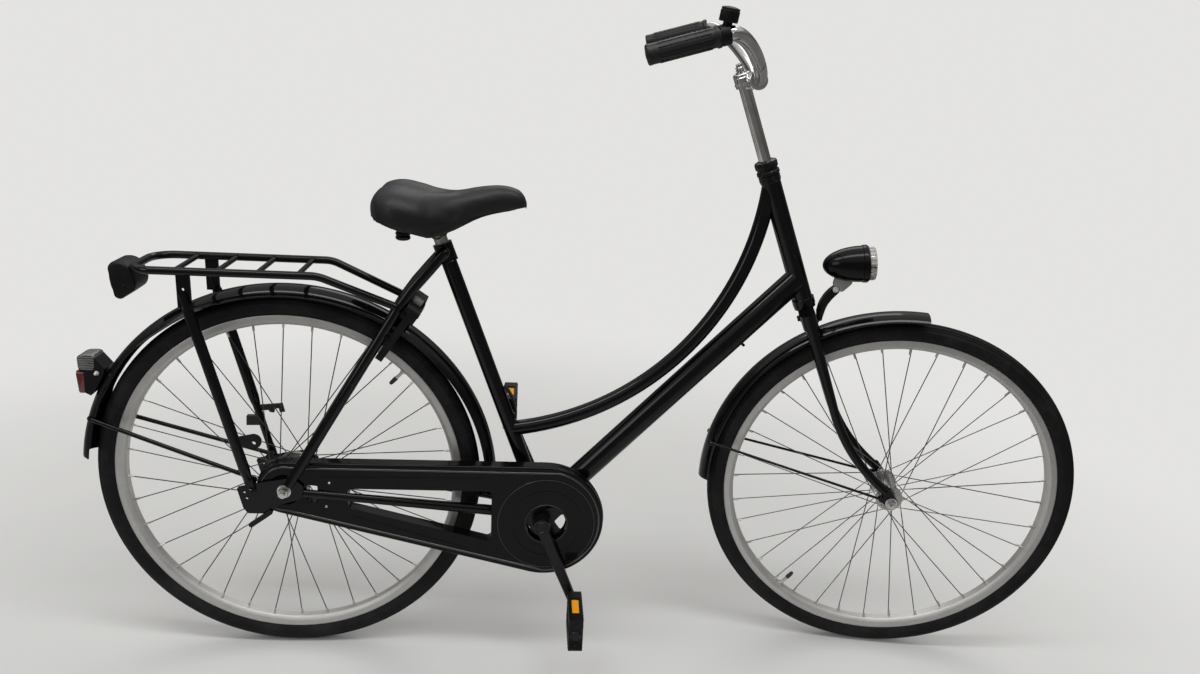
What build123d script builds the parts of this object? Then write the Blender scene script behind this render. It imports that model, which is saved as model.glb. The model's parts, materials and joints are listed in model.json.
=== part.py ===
from build123d import *
import math
import os

# City bicycle, upright single-speed with a coaster brake. Millimetres, +X forward, +Y to the
# rider's left, +Z up. Everything is drawn over the floor point under the rear axle, and the
# saved pieces are then moved so that the rider's point on the saddle is the origin.

# ---- wheels ----------------------------------------------------------------------------
bead_seat_radius = 311.0
tyre_height = 39.0
tyre_width = 38.0
tyre_sides = 16
rim_flange_height = 5.3
rim_width = 26.0
rim_depth = 18.0
rim_wall = 2.0
rim_bevel = 5.0
rim_well_depth = 12.0
spoke_radius = 1.0
spoke_sides = 6
spokes_per_flange = 18
spoke_crosses = 3
spoke_dish = 2.4
spoke_rim_offset = 3.0
rear_first_spoke = 11.0
front_first_spoke = 0.0
front_hub_flange_radius = 21.0
front_hub_flange_y = 33.0
front_hub_barrel_radius = 13.0
rear_hub_flange_radius = 33.0
rear_hub_flange_y = 25.0
rear_hub_barrel_radius = 27.0
hub_flange_thickness = 4.0
hub_flange_rim = 4.0
hub_cone_wall = 5.0

# ---- frame -----------------------------------------------------------------------------
wheelbase = 1144.0
chain_stay_length = 472.0
bottom_bracket_drop = 60.0
seat_angle = 69.5
seat_tube_length = 550.0
seat_tube_radius = 13.8
seat_tube_wall = 1.8
seat_lug_radius = 17.0
seat_lug_height = 34.0
head_angle = 68.5
fork_rake = 57.0
crown_clearance = 20.5
head_tube_length = 226.0
head_tube_radius = 17.5
lower_cup_radius = 20.5
upper_cup_radius = 18.5
headset_cup_height = 12.0
locknut_height = 26.0
locknut_step = 8.0
locknut_radius = 19.5
down_tube_radius = 22.0
down_tube_join = 51.0
top_tube_radius = 14.0
top_tube_low = 178.0
top_tube_bend = 510.0
bottom_bracket_radius = 21.0
bottom_bracket_width = 68.0
chain_stay_root_y = 24.0
chain_stay_root_height = 22.0
chain_stay_root_width = 17.0
chain_stay_end_height = 15.0
chain_stay_end_width = 13.0
chain_stay_end_x = 34.0
seat_stay_radius = 8.3
seat_stay_top_radius = 11.0
seat_stay_waist_back = 61.5
seat_stay_waist_drop = 93.0
seat_stay_waist_y = 37.0
dropout_y = 60.0
dropout_thickness = 5.0
dropout_eye_radius = 2.6
axle_radius = 5.0
axle_nut_radius = 9.5
axle_nut_height = 11.0
axle_overhang = 7.0
washer_radius = 12.5
washer_thickness = 2.0
front_axle_radius = 4.5
front_nut_radius = 8.5
front_nut_height = 8.0
fork_end_y = 50.0
fork_end_thickness = 4.0
fork_end_radius = 13.0
dropout_corner = 4.0
eye_upper = (-71, -5)
eye_lower = (-67, -17)
strap_anchor_width = 9.0
strap_anchor_thickness = 4.0
locknut_thickness = 5.0
brake_arm_y = 45.0
brake_arm_thickness = 4.0
brake_arm_length = 150.0
brake_arm_height = 17.0
brake_strap_wall = 1.5
clip_thickness = 3.5
clip_width = 14.0
clip_low = 18.0
clip_high = 84.0
clip_bow = 7.0

# ---- saddle and post ---------------------------------------------------------------------
seat_post_radius = seat_tube_radius - seat_tube_wall
seat_post_insertion = 60.0
seat_post_stand = 24.0
saddle_rail_radius = 3.5
saddle_stations = ((-119, 108, 77, 49), (-100, 176, 97, 45), (-72, 206, 102, 36),
                   (-36, 196, 96, 27), (-12, 166, 92, 20), (26, 106, 91, 33), (64, 70, 100, 50),
                   (104, 54, 106, 61), (134, 42, 99, 67), (148, 20, 80, 68))
saddle_hollow = ((-92, 150, 52, 0), (-72, 186, 54, 0), (-36, 178, 54, 0), (-12, 148, 54, 0),
                 (26, 88, 54, 0), (60, 54, 58, 0))

# ---- steering ----------------------------------------------------------------------------
rest_steer = -10.0
bar_twist = 3.0
steerer_radius = 12.7
steerer_stand = 10.0
fork_blade_radius = 11.5
fork_tip_radius = 8.6
fork_tip_up = 26.0
fork_race = 6.0
fork_eye = (-20, 8)
fork_eye_radius = 6.0
fork_blade_y = 44.0
fork_blade_straight = 212.0
fork_crown_height = 34.0
fork_crown_width = 28.0
stem_radius = 11.0
stem_height = 152.0
stem_reach = 24.0
stem_cap_height = 24.0
stem_cap_radius = 15.0
bar_radius = 11.1
bar_clamp_width = 34.0
bar_clamp_wall = 4.0
bar_rise = 77.0
bar_sweep = 77.0
bar_half_width = 261.0
grip_back = 114.0
grip_drop = 35.0
grip_spread = 16.0
grip_radius = 15.0
grip_length = 122.0
bell_band_length = 14.0
bell_radius = 13.5
bell_height = 22.0
bell_neck = 5.0

# ---- drive -------------------------------------------------------------------------------
crank_length = 175.0
crank_rest = 22.5
spindle_radius = 8.5
chainwheel_radius = 82.0
chainwheel_thickness = 3.0
chainwheel_y = 47.5
chainwheel_windows = 5
window_near = 24.0
window_middle = 38.0
window_far = 60.0
window_spread = 22.0
window_corner = 5.0
chainwheel_boss_radius = 18.0
crank_y = 72.0
crank_thickness = 13.0
crank_width = 24.0
crank_taper = 3.0
crank_boss_radius = 16.0
crank_eye_radius = 12.0
pedal_axle_radius = 5.0
pedal_length = 95.0
pedal_width = 64.0
pedal_thickness = 26.0
pedal_gap = 5.0
pedal_end_wall = 5.0
pedal_block_width = 21.0
pedal_barrel_radius = 9.0
pedal_groove = 2.0
pedal_groove_width = 3.0
pedal_groove_pitch = 6.0
reflector_width = 13.0
reflector_length = 46.0
reflector_thickness = 2.0
reflector_recess = 5.0

# ---- fits --------------------------------------------------------------------------------
running_fit = 0.05
face_gap = 0.4

# ---- chain case ----------------------------------------------------------------------------
case_inner_y = 34.5
case_outer_y = 59.5
case_wall = 2.2
case_edge = 4.0
case_front_radius = 110.5
case_front_shift = Vector(5.5, 0, 3.5)
case_rear_radius = 51.0
case_hole_radius = 37.0
case_axle_hole_radius = 30.0
case_window_gap = 94.0
case_window_back = 112.0
case_tail_window = (39.0, 58.0)
case_ring_radius = 68.0
case_rib_width = 4.0
case_emboss = 0.8
case_ribs = (((66, 43), (430, 50)), ((66, 25), (360, 29)), ((120, -52), (330, -116)))

# ---- carrier, lamps, lock --------------------------------------------------------------------
carrier_up = 402.0
carrier_half = 63.0
carrier_rail_radius = 7.0
carrier_bar_radius = 4.5
carrier_bend_x = 72.0
carrier_tail_x = -240.0
carrier_bars = (-165, -97, -30, 38)
carrier_joint = 0.05
carrier_eye_radius = 2.5
leg_top = (-152, 365)
leg_foot = (-57, 2)
leg_radius = 7.0
left_leg_shift = 7.0
leg_plate = 4.0
reflector_half = 31.0
tail_lamp_angle = 149.0
tail_lamp_half = 19.0
lock_angle = 56.0
lock_low = 385.0
lock_high = 420.0
lock_tip = 300.0
lock_half = 49.0
lock_thickness = 26.0
lock_leg_width = 16.0
lock_leg_thickness = 13.0
lamp_up = 42.0
lamp_forward = 126.0
lamp_tilt = 7.0
lamp_length = 70.0
lamp_radius = 33.0
lamp_rim_depth = 9.0
lamp_rim_wall = 3.0
lamp_lens_depth = 14.0
lamp_lens_radius = 30.0

wheel_radius = bead_seat_radius + tyre_height
rim_radius = bead_seat_radius + rim_flange_height


def ground(x, y, z):
    return Vector(x, y, z)


def by_rear_axle(x, up, left=0.0):
    """A point forward of, above and left of the rear axle."""
    return Vector(x, left, wheel_radius + up)


rear_axle_point = by_rear_axle(0, 0)
front_axle_point = by_rear_axle(wheelbase, 0)
steer_up = Vector(-math.cos(math.radians(head_angle)), 0, math.sin(math.radians(head_angle)))
steer_forward = Vector(math.sin(math.radians(head_angle)), 0, math.cos(math.radians(head_angle)))
steer_foot = front_axle_point - steer_forward * fork_rake
bottom_bracket_x = math.sqrt(chain_stay_length ** 2 - bottom_bracket_drop ** 2)
bottom_bracket_point = by_rear_axle(bottom_bracket_x, -bottom_bracket_drop)
seat_up = Vector(-math.cos(math.radians(seat_angle)), 0, math.sin(math.radians(seat_angle)))
seat_top = bottom_bracket_point + seat_up * seat_tube_length

# ---- mudguard sizes, which set the fork's height -------------------------------------------
rear_guard_gap = 28.0
front_guard_gap = 18.0
guard_width = 54.0
rear_guard_depth = 17.0
front_guard_depth = 11.0
guard_wall = 1.6
rear_guard_start = -2.0
rear_guard_end = 173.0
front_guard_start = 86.5
front_guard_end = 180.0
guard_stay_radius = 2.5
rear_stay_radius = 4.0
rear_stay_angle = 160.5
rear_tab_thickness = 3.0
front_stay_angle = 167.0
crown_lug_radius = 6.0
crown_lug_depth = 23.0
guard_bridge_angle = 60.0
guard_bridge_gap = 12.0
rear_guard_radius = wheel_radius + rear_guard_gap
rear_guard_centre = by_rear_axle(3, -6)
front_guard_radius = wheel_radius + front_guard_gap
fork_reach = math.sqrt(front_guard_radius ** 2 - fork_rake ** 2) + crown_clearance + fork_crown_height
head_low = fork_reach + headset_cup_height
head_high = head_low + head_tube_length
headset_top = head_high + headset_cup_height
steerer_top = headset_top + steerer_stand


def on_steering(up, forward=0.0, left=0.0):
    """A point given up the steering axis, forward of it and to the left."""
    return steer_foot + steer_up * up + steer_forward * forward + Vector(0, left, 0)


def rod(start, end, radius, end_radius=None):
    run = end - start
    plane = Plane(origin=start, z_dir=run)
    if end_radius is None:
        return Part() + Solid.make_cylinder(radius, run.length, plane)
    return Part() + Solid.make_cone(radius, end_radius, run.length, plane)


def ball(centre, radius):
    return Pos(*centre) * Sphere(radius)


def bent_tube(points, bends, radius):
    path = FilletPolyline(*points, radius=bends)
    section = Plane(origin=path @ 0, z_dir=path % 0) * Circle(radius)
    return Part() + sweep(section, path=path)


def hexagon_rod(start, end, radius):
    run = end - start
    return extrude(Plane(origin=start, z_dir=run) * RegularPolygon(radius, 6), amount=run.length)


def bored(piece, start, end, radius):
    return piece - rod(start, end, radius)


def wheel_ring(section, centre):
    """A closed section in the X-Y plane, X being the radius, turned about the axle."""
    return Pos(*centre) * revolve(section, axis=Axis.Y)


def arc_about_axle(section, centre, start, end):
    """The same section turned only from one angle to another, measured up from forward."""
    turned_section = revolve(section, axis=Axis((0, 0, 0), (0, -1, 0)), revolution_arc=end - start)
    return Pos(*centre) * Rot(0, -start, 0) * turned_section


def around(centre, radius, angle, y=0.0):
    a = math.radians(angle)
    return centre + Vector(radius * math.cos(a), y, radius * math.sin(a))


def mirrored(piece):
    return mirror(piece, about=Plane.XZ)


def both_sides(piece):
    return piece + mirrored(piece)


def across(x, z, y_from, y_to, radius):
    return rod(ground(x, y_from, z), ground(x, y_to, z), radius)


def side_slab(sketch, y_low, y_high):
    """A sketch drawn in X and Z, given its thickness across the bicycle."""
    slab = extrude(sketch, amount=y_high - y_low)
    return Pos(0, y_high, 0) * Rot(90, 0, 0) * slab


# ---- wheels ------------------------------------------------------------------------------

def rim_section():
    half = rim_width / 2
    foot = rim_radius - rim_depth
    shoulder = foot + rim_bevel + rim_wall
    well = rim_radius - rim_well_depth
    inside = half - rim_wall
    outline = Polyline(
        (foot, -half + rim_bevel), (foot, half - rim_bevel), (shoulder, half), (rim_radius, half),
        (rim_radius, inside), (well, inside), (well, -inside), (rim_radius, -inside),
        (rim_radius, -half), (shoulder, -half), close=True)
    return make_face(outline)


def tyre_section():
    inside = rim_width / 2 - rim_wall
    well = rim_radius - rim_well_depth
    centre = wheel_radius - tyre_width / 2
    half_side = 180 / tyre_sides
    round_part = Pos(centre, 0) * RegularPolygon(tyre_width / 2 / math.cos(math.radians(half_side)),
                                                 tyre_sides, rotation=half_side)
    above_rim = Pos(rim_radius + tyre_width, 0) * Rectangle(tyre_width * 2, tyre_width * 2)
    foot = Pos((well + centre) / 2, 0) * Rectangle(centre - well, inside * 2)
    return (round_part & above_rim) + foot


def spoke(flange_radius, flange_y, first, index, side):
    """One laced spoke: it leaves its flange hole and crosses its neighbours to the rim."""
    step = 360.0 / spokes_per_flange
    leading = index % 2 == 0
    crossing = spoke_crosses * step * (1 if leading else -1)
    start_angle = first + index * step + (step / 2 if side < 0 else 0)
    offset = spoke_dish if leading else -spoke_dish
    hub = Vector(0, 0, 0)
    start = around(hub, flange_radius, start_angle, side * flange_y + offset)
    end = around(hub, rim_radius - rim_depth - face_gap, start_angle + crossing, side * spoke_rim_offset)
    run = end - start
    section = Plane(origin=start, z_dir=run) * RegularPolygon(spoke_radius, spoke_sides)
    return extrude(section, amount=run.length)


def laced_hub(centre, first, flange_radius, flange_y, barrel_radius, right_end, left_end, bore):
    shell = across(0, 0, -flange_y, flange_y, barrel_radius)
    shell += across(0, 0, -right_end, left_end, bore + hub_cone_wall)
    for side in (-1, 1):
        inner = side * (flange_y - hub_flange_thickness)
        outer = side * (flange_y + hub_flange_thickness)
        shell += across(0, 0, inner, outer, flange_radius + hub_flange_rim)
    shell = bored(shell, Vector(0, -right_end, 0), Vector(0, left_end, 0), bore)
    spokes = [spoke(flange_radius, flange_y, first, index, side)
              for side in (-1, 1) for index in range(spokes_per_flange)]
    return Pos(*centre) * shell.fuse(*[piece.solid() for piece in spokes])


def rear_hub():
    right_end = dropout_y - locknut_thickness - face_gap
    left_end = brake_arm_y - brake_arm_thickness / 2 - face_gap
    return laced_hub(rear_axle_point, rear_first_spoke, rear_hub_flange_radius, rear_hub_flange_y,
                     rear_hub_barrel_radius, right_end, left_end, axle_radius + running_fit)


def front_hub():
    end = fork_end_y - locknut_thickness - face_gap
    return laced_hub(front_axle_point, front_first_spoke, front_hub_flange_radius, front_hub_flange_y,
                     front_hub_barrel_radius, end, end, front_axle_radius + running_fit)


# ---- frame -------------------------------------------------------------------------------

def solid_head():
    tube = rod(on_steering(head_low), on_steering(head_high), head_tube_radius)
    tube += rod(on_steering(head_high), on_steering(headset_top), upper_cup_radius)
    return tube + rod(on_steering(fork_reach), on_steering(head_low), lower_cup_radius)


def head_tube():
    return bored(solid_head(), on_steering(fork_reach), on_steering(headset_top),
                 steerer_radius + running_fit)


def solid_shell():
    half = bottom_bracket_width / 2
    return across(bottom_bracket_point.X, bottom_bracket_point.Z, -half, half,
                  bottom_bracket_radius)


def bottom_bracket():
    half = bottom_bracket_width / 2
    return solid_shell() - across(bottom_bracket_point.X, bottom_bracket_point.Z, -half, half,
                                  spindle_radius + running_fit)


def solid_seat_tube():
    tube = rod(bottom_bracket_point, seat_top, seat_tube_radius)
    return tube + rod(seat_top - seat_up * seat_lug_height, seat_top, seat_lug_radius)


def down_tube():
    tube = rod(bottom_bracket_point, on_steering(fork_reach + down_tube_join), down_tube_radius)
    return tube - solid_head() - solid_shell() - solid_seat_tube()


def top_tube():
    """The low curved tube: one arc from the seat tube to the top of the head tube."""
    low = bottom_bracket_point + seat_up * top_tube_low
    high = on_steering(head_high)
    chord = high - low
    sag = top_tube_bend - math.sqrt(top_tube_bend ** 2 - (chord.length / 2) ** 2)
    outward = Vector(chord.Z, 0, -chord.X).normalized()
    path = ThreePointArc(low, low + chord * 0.5 + outward * sag, high)
    section = Plane(origin=path @ 0, z_dir=path % 0) * Circle(top_tube_radius)
    tube = Part() + sweep(section, path=path)
    return tube - solid_head() - solid_seat_tube() - down_tube()


def seat_tube():
    tube = solid_seat_tube() - solid_shell()
    return bored(tube, seat_top - seat_up * seat_post_insertion, seat_top,
                 seat_post_radius + running_fit)


def seat_tube_clip():
    """A slim sprung clip on the front of the seat tube, just over the curved tube."""
    front = Vector(seat_up.Z, 0, -seat_up.X)
    skin = seat_tube_radius + clip_thickness / 2
    foot = bottom_bracket_point + seat_up * (top_tube_low + clip_low) + front * skin
    tip = bottom_bracket_point + seat_up * (top_tube_low + clip_high) + front * skin
    middle = (foot + tip) * 0.5 + front * clip_bow
    arc = ThreePointArc((foot.X, foot.Z), (middle.X, middle.Z), (tip.X, tip.Z))
    strip = side_slab(trace(arc, clip_thickness), -clip_width / 2, clip_width / 2)
    return strip - solid_seat_tube() - top_tube()


chain_stay_root = bottom_bracket_point + Vector(0, chain_stay_root_y, 0)
chain_stay_end = by_rear_axle(chain_stay_end_x, -4, dropout_y + dropout_thickness / 2 + 1)


def chain_stay_section(share, grow=0.0):
    """The stay's oval at a share of its length from the bracket shell."""
    run = chain_stay_end - chain_stay_root
    plane = Plane(origin=chain_stay_root + run * share, x_dir=Vector(0, 1, 0), z_dir=run)
    width = chain_stay_root_width + share * (chain_stay_end_width - chain_stay_root_width)
    height = chain_stay_root_height + share * (chain_stay_end_height - chain_stay_root_height)
    return plane * Ellipse(width / 2 + grow, height / 2 + grow)


def chain_stay():
    """A straight tube, tall and narrow at the bracket shell, near round at the dropout."""
    return Part() + loft([chain_stay_section(0), chain_stay_section(1)])


def chain_stays():
    stay = chain_stay() - solid_shell() - solid_seat_tube() - dropout_block()
    return both_sides(stay)


def dropout_block():
    """The left dropout plate, with a tail that carries two small eyes."""
    outline = Polyline((34, 10), (16, 26), (-30, 18), (-84, 5), (-74, -36), (-66, -46),
                       (-26, -46), (-10, -28), (30, -16), close=True)
    plate = side_slab(fillet(make_face(outline).vertices(), dropout_corner),
                      dropout_y, dropout_y + dropout_thickness)
    return Pos(*rear_axle_point) * plate


def eye_hole(place, radius):
    x, up = place
    return across(x, wheel_radius + up, dropout_y - 1, dropout_y + dropout_thickness + 1, radius)


def dropouts():
    plate = dropout_block() - eye_hole((0, 0), axle_radius)
    plate -= eye_hole(eye_upper, dropout_eye_radius)
    plate -= eye_hole(eye_lower, dropout_eye_radius)
    return both_sides(plate) + strap_anchor()


def strap_anchor():
    """A short bar low on the right dropout, where the carrier's strap is hooked."""
    near = (-26, -42)
    far = (-61, -68)
    middle = Line(near, far)
    bar = SlotCenterToCenter(middle.length, strap_anchor_width)
    angle = math.degrees(math.atan2(far[1] - near[1], far[0] - near[0]))
    place = Pos((near[0] + far[0]) / 2, (near[1] + far[1]) / 2) * Rot(0, 0, angle) * bar
    outer = -dropout_y - dropout_thickness
    return Pos(*rear_axle_point) * side_slab(place, outer - strap_anchor_thickness, outer)


seat_stay_top = seat_top - seat_up * 14 + Vector(0, seat_lug_radius + 5, 0)
seat_stay_end = by_rear_axle(10, 14, dropout_y + dropout_thickness + seat_stay_radius - 1)
seat_stay_waist = seat_top + Vector(-seat_stay_waist_back, seat_stay_waist_y, -seat_stay_waist_drop)


def seat_stay_point(share):
    """A point on the stay's middle line, by its share of the way from the waist down."""
    return seat_stay_waist + (seat_stay_end - seat_stay_waist) * share


def seat_stay():
    """A straight tube from the dropout to its waist, then a stouter cone up to the lug."""
    stay = rod(seat_stay_waist, seat_stay_end, seat_stay_radius)
    stay += ball(seat_stay_waist, seat_stay_radius)
    stay += rod(seat_stay_waist, seat_stay_top, seat_stay_radius, seat_stay_top_radius)
    return stay + ball(seat_stay_top, seat_stay_top_radius)


def seat_stays():
    stay = seat_stay() - dropout_block() - solid_seat_tube()
    at = around(rear_guard_centre, rear_guard_radius + guard_bridge_gap, guard_bridge_angle)
    bridge = across(at.X, at.Z, 0, seat_stay_waist_y, 6)
    foot = around(rear_guard_centre, rear_guard_radius - guard_wall, guard_bridge_angle)
    return both_sides(stay + bridge) + rod(foot, at, 5)


def axle_with_nuts(centre, radius, face_y, nut_radius, nut_height, overhang):
    """A spindle with a washer, a hexagon nut and a bare end outside each face."""
    reach = face_y + washer_thickness + nut_height + overhang
    axle = across(centre.X, centre.Z, -reach, reach, radius)
    for side in (-1, 1):
        washer_top = side * (face_y + washer_thickness)
        axle += across(centre.X, centre.Z, side * face_y, washer_top, nut_radius + 3)
        nut_start = ground(centre.X, washer_top, centre.Z)
        axle += hexagon_rod(nut_start, nut_start + Vector(0, side * nut_height, 0), nut_radius)
    return axle


def rear_axle():
    face_y = dropout_y + dropout_thickness
    axle = axle_with_nuts(rear_axle_point, axle_radius, face_y, axle_nut_radius,
                          axle_nut_height, axle_overhang)
    axle += across(0, wheel_radius, -dropout_y, -dropout_y + locknut_thickness, axle_nut_radius)
    arm_face = brake_arm_y + brake_arm_thickness / 2
    return axle + across(0, wheel_radius, arm_face, dropout_y, axle_nut_radius - 1)


def brake_arm():
    """The coaster brake's steel arm, from the hub to a strap round the left chain stay."""
    along = Vector(bottom_bracket_x, 0, -bottom_bracket_drop).normalized()
    tilt = math.degrees(math.atan2(along.Z, along.X))
    bar = Pos(brake_arm_length / 2, 0) * SlotCenterToCenter(brake_arm_length, brake_arm_height)
    hub_end = Circle(brake_arm_height / 2 + 5)
    sketch = Rot(0, 0, tilt) * (bar + hub_end)
    plate = side_slab(sketch, brake_arm_y - brake_arm_thickness / 2,
                      brake_arm_y + brake_arm_thickness / 2)
    plate = Pos(*rear_axle_point) * plate
    plate -= across(0, wheel_radius, 0, dropout_y, axle_radius)
    return plate + brake_strap() - chain_stay()


def brake_strap():
    """The band that ties the arm's front end to the chain stay."""
    share = 1 - (brake_arm_length - chain_stay_end_x) / (chain_stay_end - chain_stay_root).length
    return extrude(chain_stay_section(share, brake_strap_wall), amount=12)


# ---- chain case --------------------------------------------------------------------------

def case_outline(shrink=0.0):
    middle = bottom_bracket_point + case_front_shift
    front = Pos(middle.X, middle.Z) * Circle(case_front_radius - shrink)
    rear = Pos(0, wheel_radius + 2) * Circle(case_rear_radius - shrink)
    return make_hull(front.edges() + rear.edges())


def case_windows(shrink=0.0):
    """The long window over the chain stay and the small one at the tail."""
    front = bottom_bracket_x - case_window_gap + shrink
    back = case_window_back - shrink
    long_window = Polyline((back, 4 + shrink), (front, 4 + shrink), (front, -100 - shrink * 1.3),
                           (back, -34 - shrink * 1.3), close=True)
    left = case_tail_window[0] - shrink
    right = case_tail_window[1] + shrink
    tail = Polyline((left, -23 - shrink), (left, 10 + shrink), (right, 11 + shrink),
                    (right, -26 - shrink), close=True)
    cut = fillet(make_face(long_window).vertices(), 8) + fillet(make_face(tail).vertices(), 4)
    return Pos(0, wheel_radius) * cut


def case_rib(start, end):
    """A low raised rib moulded on the case's outer face."""
    run = Line(start, end)
    angle = math.degrees(math.atan2(end[1] - start[1], end[0] - start[0]))
    middle = Pos((start[0] + end[0]) / 2, wheel_radius + (start[1] + end[1]) / 2)
    bar = middle * Rot(0, 0, angle) * SlotCenterToCenter(run.length, case_rib_width)
    return side_slab(bar, -case_outer_y - case_emboss, -case_outer_y)


def case_hole():
    return Pos(bottom_bracket_point.X + 8.8, bottom_bracket_point.Z - 1) * Circle(case_hole_radius)


def chain_case():
    slab = side_slab(case_outline(), -case_outer_y, -case_inner_y)
    shell = fillet(slab.faces().sort_by(Axis.Y)[0].edges(), case_edge)
    inside = case_outline(case_wall) - case_windows(case_wall)
    shell -= side_slab(case_windows(), -case_outer_y, -case_inner_y)
    shell -= side_slab(inside, -case_outer_y + case_wall, -case_inner_y - case_wall)
    ring = Circle(case_ring_radius) - Circle(case_ring_radius - case_rib_width)
    ring = Pos(bottom_bracket_point.X + 8.8, bottom_bracket_point.Z - 1) * ring
    shell += side_slab(ring, -case_outer_y - case_emboss, -case_outer_y)
    for start, end in case_ribs:
        shell += case_rib(start, end)
    shell -= side_slab(case_hole(), -case_outer_y - case_emboss, -case_inner_y)
    shell -= across(0, wheel_radius, -case_outer_y, -case_inner_y, case_axle_hole_radius)
    return shell - chain_stays() - dropouts() - seat_stays()


# ---- mudguards ---------------------------------------------------------------------------

def guard_section(radius, depth):
    half = guard_width / 2
    outer = ThreePointArc((radius - depth, -half), (radius, 0), (radius - depth, half))
    inner = ThreePointArc((radius - depth, half - guard_wall), (radius - guard_wall, 0),
                          (radius - depth, -half + guard_wall))
    return make_face([outer, Line(outer @ 1, inner @ 0), inner, Line(inner @ 1, outer @ 0)])


def under_guard(radius, centre, start, end):
    """What lies inside a mudguard's crown, for trimming what stands on it."""
    low = radius / 2
    high = radius - guard_wall / 2
    return arc_about_axle(Pos((low + high) / 2, 0) * Rectangle(high - low, guard_width * 2),
                          centre, start, end)


def rear_mudguard():
    guard = arc_about_axle(guard_section(rear_guard_radius, rear_guard_depth),
                           rear_guard_centre, rear_guard_start, rear_guard_end)
    return guard - seat_stays() - chain_stays() - bottom_bracket() - solid_seat_tube()


def rear_guard_stays():
    """The wire stays of the rear mudguard and the flat tabs they end in."""
    start = around(rear_guard_centre, rear_guard_radius - rear_guard_depth + 3, rear_stay_angle,
                   guard_width / 2 + rear_stay_radius - 2)
    end = by_rear_axle(-54, 19, dropout_y - rear_stay_radius)
    tab = Pos(-59, 11) * Rot(0, 0, 58) * SlotCenterToCenter(18, 12)
    plate = Pos(*rear_axle_point) * side_slab(tab, dropout_y - rear_tab_thickness, dropout_y)
    stay = rod(start, end, rear_stay_radius) + plate
    return both_sides(stay - rear_mudguard())


def front_mudguard():
    guard = arc_about_axle(guard_section(front_guard_radius, front_guard_depth),
                           front_axle_point, front_guard_start, front_guard_end)
    lug = rod(on_steering(fork_reach - fork_crown_height),
              on_steering(front_guard_radius - crown_lug_depth), crown_lug_radius)
    return guard + (lug - under_guard(front_guard_radius, front_axle_point, 95, 170))


def front_guard_stays():
    """The wire stays of the front mudguard, each ending in a pin through a fork-end eye."""
    start = around(front_axle_point, front_guard_radius - front_guard_depth + 3, front_stay_angle,
                   guard_width / 2 + guard_stay_radius - 1.5)
    outer = fork_end_y + fork_end_thickness
    end = front_axle_point + Vector(fork_eye[0], outer + guard_stay_radius, fork_eye[1])
    pin = across(end.X, end.Z, outer, outer + 2 * guard_stay_radius, fork_eye_radius - 1)
    return both_sides(rod(start, end, guard_stay_radius) + pin - front_mudguard())


# ---- carrier, lamps, lock ----------------------------------------------------------------

def carrier():
    start = seat_stay_point(carrier_joint) + Vector(-3, 6, 3)
    rail = bent_tube([start, by_rear_axle(carrier_bend_x, carrier_up, carrier_half),
                      by_rear_axle(carrier_tail_x, carrier_up, carrier_half),
                      by_rear_axle(carrier_tail_x, carrier_up)], [60, 38], carrier_rail_radius)
    rack = both_sides(rail)
    for x in carrier_bars:
        rack += across(x, wheel_radius + carrier_up, -carrier_half, carrier_half, carrier_bar_radius)
    return rack - seat_stays()


def leg_x(up):
    """How far forward of the axle a carrier leg's middle is, at one height above it."""
    share = (leg_top[1] - up) / (leg_top[1] - leg_foot[1])
    return leg_top[0] + share * (leg_foot[0] - leg_top[0])


def carrier_leg():
    """A tube from the rack to the dropout, with a flat end plate at each end."""
    end_up = leg_foot[1] + 19
    y = dropout_y + dropout_thickness + 1.5
    leg = rod(by_rear_axle(leg_top[0], leg_top[1], y), by_rear_axle(leg_x(end_up), end_up, y), leg_radius)
    top = Pos(leg_top[0] + 2, leg_top[1] + 3) * Rectangle(23, 58)
    foot = make_hull((Pos(leg_x(end_up + 9), end_up + 9) * Circle(7.5)).edges()
                     + (Pos(leg_x(0), 0) * Circle(7.5)).edges())
    inner = carrier_half - leg_plate / 2
    leg += Pos(*rear_axle_point) * side_slab(top, inner, inner + leg_plate)
    face = dropout_y + dropout_thickness
    leg += Pos(*rear_axle_point) * side_slab(foot, face, face + leg_plate)
    eye_at = Vector(leg_top[0] + 1, 0, wheel_radius + leg_top[1] + 6)
    return leg - across(eye_at.X, eye_at.Z, inner - 1, inner + leg_plate + 1, carrier_eye_radius) - carrier()


def left_carrier_leg():
    return Pos(left_leg_shift, 0, 0) * carrier_leg()


def carrier_legs():
    """Both legs; the right one also carries a small tab with a hole."""
    tab = make_hull((Pos(-48, 97.5) * Circle(13.5)).edges()
                    + (Pos(leg_x(97.5), 97.5) * Circle(6)).edges())
    tab -= Pos(-48, 94) * Circle(3.5)
    y = dropout_y + dropout_thickness + 1.5
    tab_plate = Pos(*rear_axle_point) * side_slab(tab, -y - leg_plate / 2, -y + leg_plate / 2)
    return mirrored(carrier_leg()) + left_carrier_leg() + tab_plate


def strap_bracket():
    """The grey bracket clamped to the left leg, with a hook for the carrier's strap."""
    y = dropout_y + dropout_thickness + 1.5
    hook = Polyline((-86, 111), (-38, 116), (-34, 99), (-43, 98), (-45, 106), (-52, 105),
                    (-54, 97), (-62, 98), (-64, 102), (-84, 100), close=True)
    hook = Pos(0, 3) * make_face(hook)
    block = Polyline((-106, 74), (-105, 93), (leg_x(93), 93), (leg_x(75), 75), close=True)
    piece = side_slab(hook, y - 2, y + 2.5)
    piece += side_slab(make_face(block), y - 5, y + 5)
    return Pos(*(rear_axle_point + Vector(left_leg_shift, 0, 0))) * piece - left_carrier_leg()


def carrier_reflector():
    outline = Polyline((-287, 396), (-279, 343), (-270, 340), (-245, 358), (-241, 371),
                       (-250, 398), (-264, 406), (-279, 405), close=True)
    body = side_slab(make_face(outline), -reflector_half, reflector_half)
    return Pos(*rear_axle_point) * body - carrier()


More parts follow.
